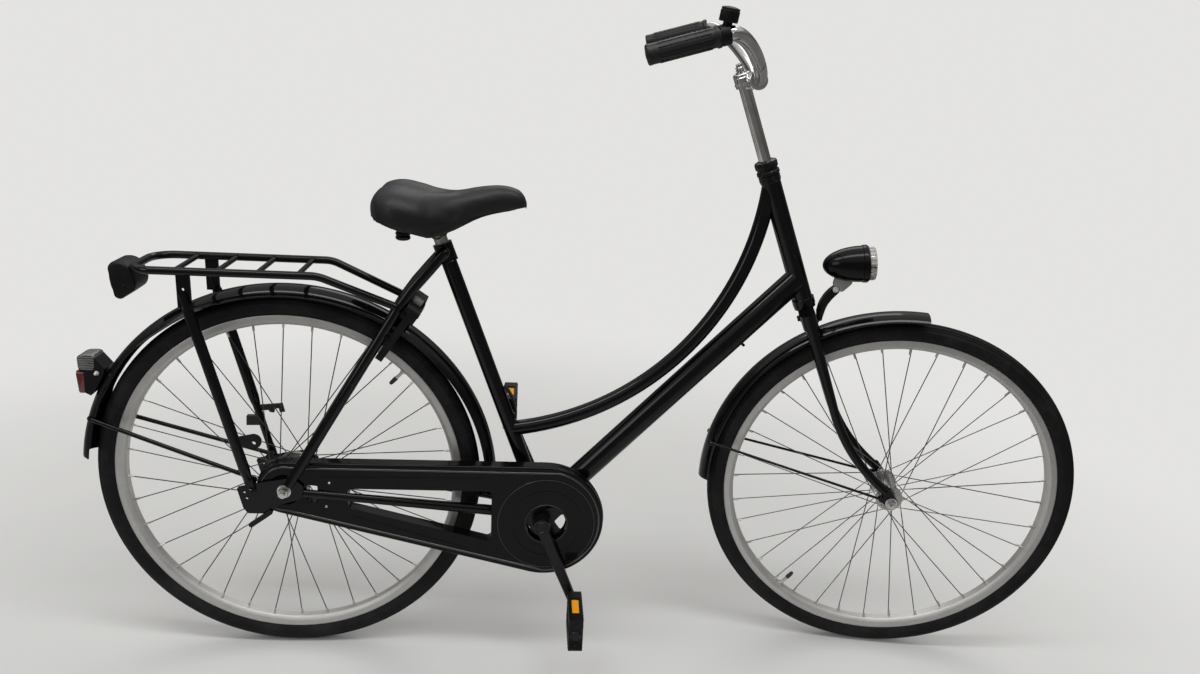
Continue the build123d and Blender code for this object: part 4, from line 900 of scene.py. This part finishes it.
# ---- the fork crown and headset ------------------------------------------------------------------
# The crown carries a blacked mudguard bolt through its middle. Above the frame sit the knurled
# top cup and its lobed locknut, both blacked steel.
steer_ahead = Vector((steer_up.z, 0, -steer_up.x))
steer_turn = Matrix.Rotation(math.radians(-10), 3, steer_up)


def steering_way(forward, left):
    """A direction ahead of and left of the steering axis, turned with the steering."""
    return steer_turn @ (steer_ahead * forward + Vector((0, left, 0)))


def on_steering(forward, up, left=0.0):
    """A point in millimetres ahead of, up and left of the steering axis, turned with it."""
    return steer_foot + (steer_up * up + steering_way(forward, left)) / 1000


black_steel = Finish("black_steel", "black_steel", (0.0045, 0.0045, 0.005), 0.36, Coat_Weight=0.18,
                     Coat_Roughness=0.16, Specular_IOR_Level=0.2)
rubbed = black_steel.ramp(black_steel.noise(55.0, 5.0, 0.65), 0.6, 0.8)
black_steel.tint(rubbed, (0.018, 0.018, 0.019))
black_steel.dull(0.3, 0.25, rubbed)
black_steel.grain(800.0, 2.0, 0.0003, 0.3)
coat(black_steel, "crank_right", "crank_left", "chainwheel")
add("crown_bolt", "steering", black_steel,
    bolt(on_steering(17.5, crown_race - 25), steering_way(1, 0), 5.6, 5),
    bolt(on_steering(-14, crown_race - 25), steering_way(-1, 0), 5.6, 4.5), smooth=30.0)
nut_place = aimed(on_steering(0, 668.5), steer_up)
locknut = turned([(13, 0.2), (18.8, 0.2), (19.8, 1.2), (19.8, 6.2), (18.8, 7.6), (13, 7.6),
                  (13, 0.2)], nut_place, 96, 16, 0.035)
upper = turned([(13, 8.2), (17.8, 8.2), (17.8, 11.8), (19.6, 13), (20, 20.5), (18.8, 24),
                (15, 25.8), (11.6, 26), (13, 8.2)], nut_place, 96, 12, 0.03)
headset = add("headset_rings", "steering", black_steel, locknut, upper, smooth=35.0)
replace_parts(headset, "headset_nut")
add("cup_knurl", "frame", black_steel, *[
    turned([(18.2, 0), (19.1, 0.6), (19.1, 3.4), (18.2, 4)],
           aimed(steer_foot + steer_up * (crown_race + 240 + row * 4.8) / 1000, steer_up),
           96, 32, 0.012) for row in (0, 1)], smooth=35.0)


# ---- the stem and bar ----------------------------------------------------------------------------
# A chromed quill stem with a hexagon expander bolt in its collared head and a clamp bolt across the
# bar, and a chromed steel bar that rises and sweeps back to the grips. The chrome is lightly hazed.
chrome = Finish("chrome", "chrome", (0.66, 0.66, 0.67), 0.08, 1.0)
haze = chrome.ramp(chrome.noise(24.0, 5.0, 0.6), 0.4, 0.8)
chrome.dull(0.06, 0.16, haze)
chrome.tint(haze, (0.60, 0.60, 0.60), (0.40, 0.375, 0.34))
chrome.grain(500.0, 2.0, 0.0002, 0.08)
coat(chrome, "stem")
clamp_up, clamp_ahead = 830.06, 24
bar_turn = Matrix.Rotation(math.radians(-7), 3, steer_up)


def by_bar(x, y, z):
    """A point in millimetres from the middle of the bar clamp, turned with the bar."""
    middle = steer_up * clamp_up + steer_ahead * clamp_ahead
    return steer_foot + bar_turn @ (middle + Vector((x, y, z))) / 1000


def bar_arm(side):
    """One arm of the bar: out of the clamp, up and round in one easy bend, then into the grip."""
    a, b, c, d = [Vector(point) for point in ((0, 28, 2), (0, 88, 17), (-48.6, 257, 85.7),
                                              (-77, 261, 77))]
    line = [a * (1 - t) ** 3 + b * 3 * t * (1 - t) ** 2 + c * 3 * t * t * (1 - t) + d * t ** 3
            for t in (step / 24 for step in range(25))]
    return [by_bar(x, side * y, z) for x, y, z in [(0, 0, 0.5), *line, (-179, 275, 45.7)]]


sweep = tube(bar_arm(-1)[:0:-1] + bar_arm(1), 11, 28)
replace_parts(add("bar_sweep", "steering", chrome, sweep, smooth=60.0), "handlebar")
stem_place = aimed(steer_foot + steer_up * (clamp_up + 20) / 1000, steer_up)
collars = turned([(0, 0), (8.8, 0), (9.2, 1), (9.2, 2.6), (6.6, 3), (6.6, 4.6), (7.8, 5),
                  (7.8, 6.6), (6.2, 7), (6.2, 8.4), (7.2, 8.8), (7.2, 9.6), (0, 9.6)],
                 stem_place, 28)
add("stem_bolt", "steering", chrome, bolt(stem_place @ Vector((0, 0.0095, 0)), steer_up, 5.6, 6),
    collars, turned([(15.2, -20), (16.2, -19.2), (16.2, -17.2), (15.2, -16.4)], stem_place, 32),
    turned([(15, -7.5), (15.6, -6.8), (15, -6)], stem_place, 32), smooth=30.0)
add("clamp_bolt", "steering", chrome, *[
    bolt(by_bar(-16, side * 8, -9), bar_turn @ Vector((0, side, 0)), 5.2, 5) for side in (-1, 1)],
    smooth=30.0)
add("clamp_lips", "steering", chrome, *[
    turned([(15, -1.2), (15.8, -0.8), (15.8, 0.8), (15, 1.2)],
           aimed(by_bar(0, side * 15.5, 0), bar_turn @ Vector((0, 1, 0))), 32) for side in (-1, 1)])


# ---- the grips -----------------------------------------------------------------------------------
# Soft black plastic grips pushed on the bar ends: a collar at the front, a long gently swollen
# barrel with fine ribs, and a rounded butt. The right one starts behind the bell.
grip_rubber = Finish("grip_rubber", "grip_rubber", (0.0075, 0.0075, 0.0082), 0.42,
                     Specular_IOR_Level=0.35)
handled = grip_rubber.noise(45.0, 4.0, 0.6)
grip_rubber.dull(0.36, 0.2, handled)
grip_rubber.tint(grip_rubber.ramp(handled, 0.5, 0.8), (0.015, 0.015, 0.0165))
grip_rubber.grain(1500.0, 2.0, 0.0003, 0.4)
grips, pads = [], []
for side, start in ((1, 0), (-1, 14.4)):
    run = Vector((-114, side * 16, -35)).normalized()
    bend_end = Vector((-77, side * 261, 77))
    length = 122 - start
    profile = [(11.1, 0), (15, 0), (16.2, 1), (16.4, 5), (15.4, 6.6), (14.6, 8)]
    for step in range(1, 25):
        share = step / 25
        groove = 0.5 if step % 2 and 0.1 < share < 0.9 else 0
        profile.append((14.6 + 0.6 * math.sin(math.pi * share) - groove, 8 + (length - 12) * share))
    profile += [(15, length - 4), (15.2, length - 1.5), (13.8, length), (6, length + 0.6),
                (5.6, length + 1.4), (0, length + 1.6)]
    grips.append(turned(profile, aimed(by_bar(*(bend_end + run * start)), bar_turn @ run), 40))
    across = run.cross(Vector((0, 0, 1))).normalized()
    other = run.cross(across)
    for angle in (math.radians(a) for a in range(0, 360, 30)):
        base = bend_end + (across * math.cos(angle) + other * math.sin(angle)) * 14.9
        pads.append(tube([by_bar(*(base + run * (start + 13 + step * 3)))
                          for step in range(int((104 - start) / 3) - 2)], 0.7, 6))
hand_grips = add("hand_grips", "steering", grip_rubber, *grips, smooth=50.0)
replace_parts(hand_grips, "grips")
add("grip_ribs", "steering", grip_rubber, *pads)


# ---- the bell ------------------------------------------------------------------------------------
# A small twist bell on the right: a blacked clamp band with a plated screw, a short neck, and a
# fluted barrel that turns under a shallow domed cap.
bell_run = Vector((-114, -16, -35)).normalized()
bell_at = Vector((-77, -261, 77)) + bell_run * 7
bell_place = aimed(by_bar(*bell_at), bar_turn @ Vector((0.14, 0, 1)))
band = turned([(11.1, -6.9), (14.8, -6.9), (15.2, -5.6), (15.2, 5.2), (14.8, 6.5), (11.1, 6.5),
               (11.1, -6.9)], aimed(by_bar(*bell_at), bar_turn @ bell_run), 40)
neck = turned([(0, 12), (7.2, 12.5), (6.6, 17.5), (10, 18), (0, 18)], bell_place, 24)
barrel = turned([(0, 17.6), (12.5, 17.6), (13.4, 19), (13.4, 33), (12.6, 33.8), (12.6, 35),
                 (0, 35)], bell_place, 100, 20, 0.03)
cap = turned([(0, 34.6), (13, 34.6), (13.6, 35.6), (13, 36.8), (9, 38.2), (4.5, 39), (0, 39.2)],
             bell_place, 40)
bell_piece = add("twist_bell", "steering", black_plastic, band, neck, barrel, cap, smooth=35.0)
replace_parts(bell_piece, "bell")
screw_at = bell_at + Vector((10.5, -10.5, 2))
add("bell_screw", "steering", plated,
    cross_screw(by_bar(*screw_at), bar_turn @ Vector((0.7, -0.7, 0.1)), 3), smooth=30.0)


# ---- the headlamp --------------------------------------------------------------------------------
# A bullet headlamp: a satin black shell with a stepped rim, a clear ribbed glass that stands
# forward of it over a silvered bowl and bulb, and a grey cast foot on a black bent arm.
lamp_tilt = math.radians(7)
lamp_way = steer_turn @ Vector((math.cos(lamp_tilt), 0, math.sin(lamp_tilt)))
lamp_place = aimed(on_steering(126, crown_race + 42), lamp_way)
shell_profile = [(0, -79)]
for quarter in (math.radians(90 * step / 25) for step in range(1, 26)):
    shell_profile.append((33 * math.sin(quarter), -9.5 - 69.5 * math.cos(quarter)))
shell_profile += [(33.4, -9.1), (34.1, -8.6), (34.3, -5.2), (34.3, -1), (33.6, 0), (31.6, 0),
                  (31, -3), (0, -3.2)]
shell = add("lamp_shell", "steering", case_plastic, turned(shell_profile, lamp_place, 64),
            slot="black_plastic")
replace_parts(shell, "headlamp", "headlamp_ring")
clear_lens = Finish("clear_lens", "clear_lens", (0.66, 0.64, 0.59), 0.14, Transmission_Weight=0.5,
                    IOR=1.47)
clear_lens.dull(0.12, 0.14, clear_lens.noise(80.0))
clear_lens.grain(240.0, 2.0, 0.0003, 0.2)
glass_profile = [(28.5, 0), (30.2, 0), (30.2, 11), (29.2, 13), (26, 14), (13, 14.7), (0, 14.9),
                 (0, 13.3), (12, 13.1), (25, 12.2), (28.2, 10), (28.5, 0)]
glass = add("lamp_glass", "steering", clear_lens, turned(glass_profile, lamp_place, 160, 20, -0.05),
            smooth=30.0)
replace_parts(glass, "headlamp_lens")
silvered = Finish("silvered", "clear_lens", (0.78, 0.78, 0.76), 0.16, 1.0)
silvered.dull(0.12, 0.15, silvered.noise(130.0, 3.0))
silvered.grain(500.0, 3.0, 0.0002, 0.1)
add("lamp_bowl", "steering", silvered,
    turned([(0, 0.6), (4.5, 0.6), (6, 1.2), (14, 3), (21, 5.8), (26.2, 9.6), (27.6, 9.6),
            (27.6, 0.2), (0, 0.2)], lamp_place, 48), smooth=35.0)
bulb = Finish("lamp_bulb", "clear_lens", (0.75, 0.7, 0.5), 0.1, Transmission_Weight=0.4)
bulb.dull(0.08, 0.1, bulb.noise(200.0))
add("lamp_bulb", "steering", bulb,
    turned([(0, 0.4), (3.6, 0.4), (3.6, 3), (5, 4.6), (5.2, 7), (3.6, 9.6), (0, 10.4)],
           lamp_place, 24), smooth=35.0)
holder = [tube([lamp_place @ (Vector((side * out, along, 0)) / 1000)
                for out, along in ((26.2, 8.5), (11.5, 7.8), (4.8, 6))], 1.9, 10)
          for side in (-1, 1)]
holder.append(turned([(5.2, 0.8), (7.6, 0.8), (7.6, 4), (6.2, 5.6), (5.2, 5.6), (5.2, 0.8)],
                     lamp_place, 32))
for x, z in ((30.3, -1), (0, -30.3), (-30.3, -1)):
    holder.append(tube([lamp_place @ (Vector((x, along, z)) / 1000) for along in (0, 6.5, 12.5)],
                       0.9, 8))
add("bulb_holder", "steering", black_steel, *holder, smooth=35.0)
add("lamp_ledge", "steering", black_plastic,
    turned([(30.3, 0), (32.2, 0), (32.2, 1.6), (30.3, 2.2)], lamp_place, 64))


def curved(points, steps=8):
    """A smooth run through a list of points."""
    run = []
    for number in range(len(points) - 1):
        first = points[max(number - 1, 0)]
        a, b = points[number], points[number + 1]
        last = points[min(number + 2, len(points) - 1)]
        for t in (step / steps for step in range(steps)):
            run.append(0.5 * (2 * a + (b - first) * t + (2 * first - 5 * a + 4 * b - last) * t * t
                              + (3 * a - first - 3 * b + last) * t * t * t))
    return run + [points[-1]]


arm_line = curved([Vector(point) for point in (
    (13.5, 379), (18, 398), (28, 415), (44, 429), (60, 436), (67, 431), (66, 424), (52, 415.5),
    (38, 404), (27, 388), (22, 379))], 4)
arm_boss = turned([(0, -2), (6.4, -2), (6.8, 0), (6.4, 1.8), (0, 1.8)],
                  aimed(on_steering(15.5, 382), steering_way(1, 0)), 24)
arm = add("lamp_arm", "steering", black_steel, rounded_bar(arm_line, 7.2, 2.4, 0.04, on_steering),
          arm_boss, smooth=45.0)
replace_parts(arm, "headlamp_bracket")
cast_grey = Finish("cast_grey", "plated_steel", (0.36, 0.36, 0.355), 0.42, 0.75)
cast_grey.dull(0.34, 0.25, cast_grey.noise(70.0, 4.0))
cast_grey.grain(420.0, 3.0, 0.0004, 0.3)
foot_line = softened([(57, 438), (69.5, 420.5), (94, 433), (92, 453), (66, 453)], 6)
add("lamp_foot", "steering", cast_grey, rounded_bar(foot_line, 6.4, 3, 0.12, on_steering),
    smooth=45.0)
add("lamp_foot_bolt", "steering", bright_zinc, *[
    bolt(on_steering(61, 430.5, side * 7.1), steering_way(0, side), 4, 3.6) for side in (-1, 1)],
    smooth=30.0)


# ---- the seat post and saddle frame --------------------------------------------------------------
# A satin steel post, a stamped clamp with one cross bolt, two 7 mm rails that run to the nose,
# and a pair of ribbed rubber springs under the back of the pad.
post_steel = Finish("post_steel", None, (0.42, 0.41, 0.4), 0.34, 0.9)
drawn_line = post_steel.noise(30.0, 4.0, 0.6, post_steel.stretched((30, 30, 1)))
post_steel.dull(0.26, 0.2, drawn_line)
post_steel.tint(drawn_line, (0.32, 0.31, 0.30), (0.52, 0.51, 0.49))
post_steel.bump(drawn_line, 0.0002, 0.2)
coat(post_steel, "seat_post")


def by_seat(x, left, up):
    """A point in millimetres from the top of the seat tube."""
    return seat_top + Vector((x, left, up)) / 1000


def rounded_box(centre, size, rim):
    """A block with rounded upright edges and its two flat faces drawn in."""
    half = Vector(size) / 2
    rows = []
    for up, draw in ((-1, rim), (-1, 0), (1, 0), (1, rim)):
        level = up * (half.z - (0 if draw else rim / 1.4))
        row = []
        for corner, (sign_x, sign_y) in enumerate(((1, 1), (-1, 1), (-1, -1), (1, -1))):
            for angle in (math.radians(90 * (corner + step / 4)) for step in range(5)):
                spot = Vector((sign_x * (half.x - rim - draw / 2.6) + rim * math.cos(angle),
                               sign_y * (half.y - rim - draw / 2.6) + rim * math.sin(angle), level))
                row.append(centre + spot / 1000)
        rows.append(row)
    return woven(rows)


clamp_middle = seat_top + seat_up * 0.024
ironwork = [rounded_box(by_seat(-61, 0, 22), (20, 46, 9), 3),
            rounded_box(clamp_middle, (37, 40, 12), 4),
            rounded_box(by_seat(97, 0, 75), (14, 22, 6), 2.5)]
spring = [(0, 0), (9.5, 0), (11.5, 1.2)]
for up in (fold * 6.6 for fold in range(5)):
    spring += [(12.8, 3 + up), (12.8, 6.2 + up), (10.8, 7.8 + up)]
spring += [(15, 37.2), (15.4, 44), (0, 44)]
rail_line = ((-72, 24, 22), (-45, 23.5, 22.5), (-20, 22, 24), (16, 20, 28), (60, 14, 53),
             (96, 9, 74))
clamp_nuts = []
for side in (-1, 1):
    rail = curved([by_seat(x, side * left, up) for x, left, up in rail_line])
    ironwork.append(tube(rail, 3.5, 12))
    ironwork.append(turned(spring, aimed(by_seat(-64, side * 30, 9), (0, 0, 1)), 28))
    cheek = aimed(clamp_middle + Vector((0, side * 0.0215, 0)), (0, side, 0))
    ironwork.append(turned([(0, -5), (10, -5), (11.8, -3.6), (11.8, 3), (10, 4.6), (0, 4.6)],
                           cheek, 28, 28, 0.03))
    clamp_nuts.append(bolt(clamp_middle + Vector((0, side * 0.0261, 0)), (0, side, 0), 6.4, 5.2))
seat_iron = add("saddle_ironwork", "frame", black_steel, *ironwork)
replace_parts(seat_iron, "saddle_frame")
brass = Finish("passivated_nut", "plated_steel", (0.5, 0.38, 0.17), 0.35, 0.9)
brass.dull(0.3, 0.2, brass.noise(200.0, 3.0))
brass.tint(brass.noise(90.0), (0.42, 0.30, 0.12), (0.55, 0.45, 0.24))
add("saddle_clamp_nuts", "frame", brass, *clamp_nuts, smooth=30.0)


# ---- the saddle pad ------------------------------------------------------------------------------
# A wide moulded foam pad in satin charcoal vinyl: two full lobes at the back parted by a sunk
# channel, flanks drawn in at the waist, and a rounded nose. The cover is drawn tight over the
# foam and tucked under a plastic base with a thin welt round its edge.
vinyl = Finish("saddle_vinyl", "saddle_vinyl", (0.009, 0.009, 0.010), 0.42, Specular_IOR_Level=0.3)
rubbed_vinyl = vinyl.noise(16.0, 4.0, 0.6)
vinyl.dull(0.34, 0.2, rubbed_vinyl)
vinyl.tint(rubbed_vinyl, (0.006, 0.006, 0.007), (0.013, 0.013, 0.0145))
leather = vinyl.node("TexVoronoi", {"feature": "DISTANCE_TO_EDGE"},
                     {"Vector": vinyl.place, "Scale": 620.0})
vinyl.bump(vinyl.ramp(leather, 0.0, 0.25) * 0.5 + vinyl.noise(1200.0, 2.0) * 0.4, 0.00035, 0.35)
# Each station: its distance ahead of the post, then the pad's width, top and bottom there.
stations = [(-119, 96, 76, 50), (-112, 140, 88, 47), (-100, 176, 97, 43), (-72, 206, 103, 36),
            (-36, 196, 97.5, 27), (-12, 164, 92.5, 20), (26, 104, 91, 32), (64, 70, 99, 50),
            (104, 54, 105, 61), (134, 44, 99, 67), (146, 28, 86, 68.5), (149.5, 12, 76, 70)]


def station_at(x):
    """Width, top and bottom of the pad at one distance, smoothly between stations."""
    number = 0
    while x > stations[number + 1][0] and number < len(stations) - 2:
        number += 1
    low, high = stations[number], stations[number + 1]
    before = stations[max(number - 1, 0)]
    after = stations[min(number + 2, len(stations) - 1)]
    span = high[0] - low[0]
    t = min(max((x - low[0]) / span, 0.0), 1.0)
    values = []
    for key in (1, 2, 3):
        slope_low = (high[key] - before[key]) / max(high[0] - before[0], 1) * span
        slope_high = (after[key] - low[key]) / max(after[0] - low[0], 1) * span
        values.append((2 * t ** 3 - 3 * t ** 2 + 1) * low[key]
                      + (t ** 3 - 2 * t ** 2 + t) * slope_low
                      + (3 * t ** 2 - 2 * t ** 3) * high[key] + (t ** 3 - t ** 2) * slope_high)
    return values


def channel(x):
    """How deep the middle channel is sunk at one distance."""
    return 11.0 * max(0.0, 1 - ((x + 52) / 72) ** 2) ** 0.8 if -124 < x < 20 else 0.0


def squared(value, power):
    """A sine or cosine pushed out towards its ends, with its sign kept."""
    return math.copysign(abs(value) ** power, value)


def pad_section(x, shrink):
    """Points of one section: up the left flank, over the lobes, and back under the hollow."""
    width, top, bottom = station_at(x)
    half = width / 2 - shrink
    height = top - bottom
    flank = 0.30 * height
    points = []
    for angle in (math.radians(-8 + 196 * step / 32) for step in range(33)):
        left = half * squared(math.cos(angle), 0.72)
        rise = squared(math.sin(angle), 0.80)
        up = bottom + flank + (height - flank - shrink) * rise
        if rise < 0.15:
            up = bottom + shrink + max(0.0, (rise + 0.25)) * flank / 0.40
            left *= 1 - 0.05 * (0.15 - rise)
        if up > bottom + height * 0.5:
            up -= channel(x) * math.exp(-(left / 17.0) ** 2)
        points.append((left, up))
    ceiling = 57.0 if -96 < x < 52 else bottom + min(10.0, 0.4 * height)
    ceiling = min(ceiling, top - channel(x) - 16)
    inner = max(half - 11.0, half * 0.4)
    for angle in (math.radians(180 - 180 * step / 14) for step in range(15)):
        rise = abs(math.sin(angle)) ** 0.45
        points.append((inner * squared(math.cos(angle), 0.45),
                       bottom + shrink + (ceiling - bottom - shrink) * rise))
    return points


def pad_form(shrink):
    """The whole pad as rings of points from back to nose, each end closed by a fan."""
    rows = [stations[0][0] + shrink, *range(-116, 148, 4), stations[-1][0] - shrink]
    rings = [[by_seat(x, left, up) for left, up in pad_section(x, shrink)] for x in rows]
    points, faces = woven(rings)
    ends = faces[-2:]
    faces = faces[:-2]
    for end, ring in zip(ends, (rings[0], rings[-1])):
        points.append(sum(ring, Vector()) / len(ring))
        faces += [(corner, end[(number + 1) % len(end)], len(points) - 1)
                  for number, corner in enumerate(end)]
    return points, faces


def stuffed(form, voxel, pressure, reach):
    """Fill a closed form with air under its cover: remeshed, swollen as cloth, then capped."""
    mesh = mesh_of("stuffing", form)
    shape = bmesh.new()
    shape.from_mesh(mesh)
    bmesh.ops.recalc_face_normals(shape, faces=shape.faces)
    shape.to_mesh(mesh)
    shape.free()
    thing = placed("stuffing", mesh)
    remesh = thing.modifiers.new("even", "REMESH")
    remesh.mode = "VOXEL"
    remesh.voxel_size = voxel
    even = bpy.data.meshes.new_from_object(evaluated(thing))
    thing.modifiers.clear()
    thing.data = even
    rest = [vertex.co.copy() for vertex in even.vertices]
    cloth = thing.modifiers.new("cover", "CLOTH")
    cloth.settings.use_pressure = True
    cloth.settings.uniform_pressure_force = pressure
    cloth.settings.effector_weights.gravity = 0.0
    cloth.settings.quality = 4
    moments = 20
    cloth.point_cache.frame_start = 1
    cloth.point_cache.frame_end = moments
    for moment in range(1, moments + 1):
        bpy.context.scene.frame_set(moment)
        seen = evaluated(thing)
    swollen = [vertex.co.copy() for vertex in seen.data.vertices]
    thing.modifiers.clear()
    bpy.context.scene.frame_set(1)
    # The base holds the cover: only the top and the flanks are free, the low flanks less so.
    top_level, low_level, flank, low_share = 62, 40, 9, 0.3
    for vertex, start, end in zip(even.vertices, rest, swollen):
        move = end - start
        spot = (start - seat_top) * 1000
        half = station_at(spot.x)[0] / 2
        free = 1.0 if spot.z > top_level or abs(spot.y) > half - flank else 0.0
        if spot.z < low_level:
            free *= low_share
        if move.length > reach:
            move *= reach / move.length
        vertex.co = start + move * free
    bpy.data.objects.remove(thing)
    return even


pad_mesh = stuffed(pad_form(0.5), 0.004, 3.0, 0.003)
pad_mesh.name = "saddle_pad"
shape = bmesh.new()
shape.from_mesh(pad_mesh)
bmesh.ops.smooth_vert(shape, verts=shape.verts, factor=0.5, use_axis_x=True, use_axis_y=True,
                      use_axis_z=True)
shape.to_mesh(pad_mesh)
shape.free()
pad = link("saddle_pad", pad_mesh, "frame", vinyl, 180.0)
plump = pad.modifiers.new("smooth", "SUBSURF")
plump.levels = 1
plump.render_levels = 1
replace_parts(pad, "saddle_cover")
# The welt follows the pad's lowest edge, evened over five neighbours.
rim_line = []
for x in range(-105, 135, 4):
    half = station_at(x)[0] / 2
    beside = [(vertex.co - seat_top) * 1000 for vertex in pad_mesh.vertices
              if abs((vertex.co.x - seat_top.x) * 1000 - x) < 3.0]
    beside = [spot for spot in beside if spot.y > half - 9] or beside
    low = min(beside, key=lambda spot: spot.z)
    rim_line.append(Vector((x, low.y + 0.6, low.z + 1.4)))
near = [rim_line[max(row - 2, 0):row + 3] for row in range(len(rim_line))]
rim_line = [sum(spots, Vector()) / len(spots) for spots in near]
add("saddle_welt", "frame", black_plastic, *[
    tube([by_seat(x, side * left, up) for x, left, up in rim_line], 1.3, 8) for side in (-1, 1)])


# ---- the cranks and pedals -----------------------------------------------------------------------
# Cotterless steel cranks in black, closed by pressed dust caps over the spindle bolts. The
# pedals are black rubber blocks on a steel barrel, with amber reflectors and an end cap.
cap_profile = [(0, -0.4), (11.2, -0.4), (11.6, 0.6), (10.8, 1.8), (8.4, 2), (7.8, 1.2), (4, 1.2),
               (3.4, 2.2), (0, 2.4)]
add("crank_caps", "crankset", black_steel, *[
    turned(cap_profile, aimed(bracket + Vector((0, side * 0.0781, 0)), (0, side, 0)), 32)
    for side in (-1, 1)], smooth=30.0)
coat(plated, "crank_spindle")
coat(black_steel, "pedal_axle_right", "pedal_axle_left")
amber = Finish("amber", None, (0.85, 0.33, 0.02), 0.15, Coat_Weight=0.9, Coat_Roughness=0.04)
# The amber prisms carry a painted glint: darker in their middles, brighter towards their edges.
prismed_with_glints(amber, 380.0, (0.85, 0.27, 0.006), (1.0, 0.56, 0.03))
coat(amber, "pedal_reflectors_right", "pedal_reflectors_left")
stud = turned([(0, 0), (1.6, 0), (1.3, 0.9), (0, 1.1)], origin, 8)
pedal_left_of_middle = 131
for name, side in (("right", -1), ("left", 1)):
    body = "pedal_" + name
    x, _, z = joint[body + "_spin"]["pos_m"]
    centre = Vector((x, side * pedal_left_of_middle / 1000, z))
    studs = [(centre + Vector((face * 12.9, (step - 4) * 9.8, row * 21.5 + line)) / 1000,
              (face, 0, 0))
             for face in (-1, 1) for row in (-1, 1) for step in range(9) for line in (-8.5, 8.5)]
    sown("pedal_studs_" + name, studs, stud, body, black_plastic)
    end = centre + Vector((0, side * 0.0473, 0))
    add("pedal_ribs_" + name, body, black_plastic, *[
        tube([end + Vector((x, side * 0.4, -14.5 - rib * 3.4)) / 1000 for x in (-10.5, 0, 10.5)],
             1.1, 8) for rib in range(5)])
    cap = turned([(0, -0.4), (9.8, -0.4), (9.8, 1.2), (8, 3), (4, 3.6), (0, 3.7)],
                 aimed(end, (0, side, 0)), 28)
    rivets = [bolt(end + Vector((0, 0, up)), (0, side, 0), 2.8, 1.8, 0) for up in (-0.021, 0.021)]
    add("pedal_cap_" + name, body, black_steel, cap, *rivets, smooth=30.0)
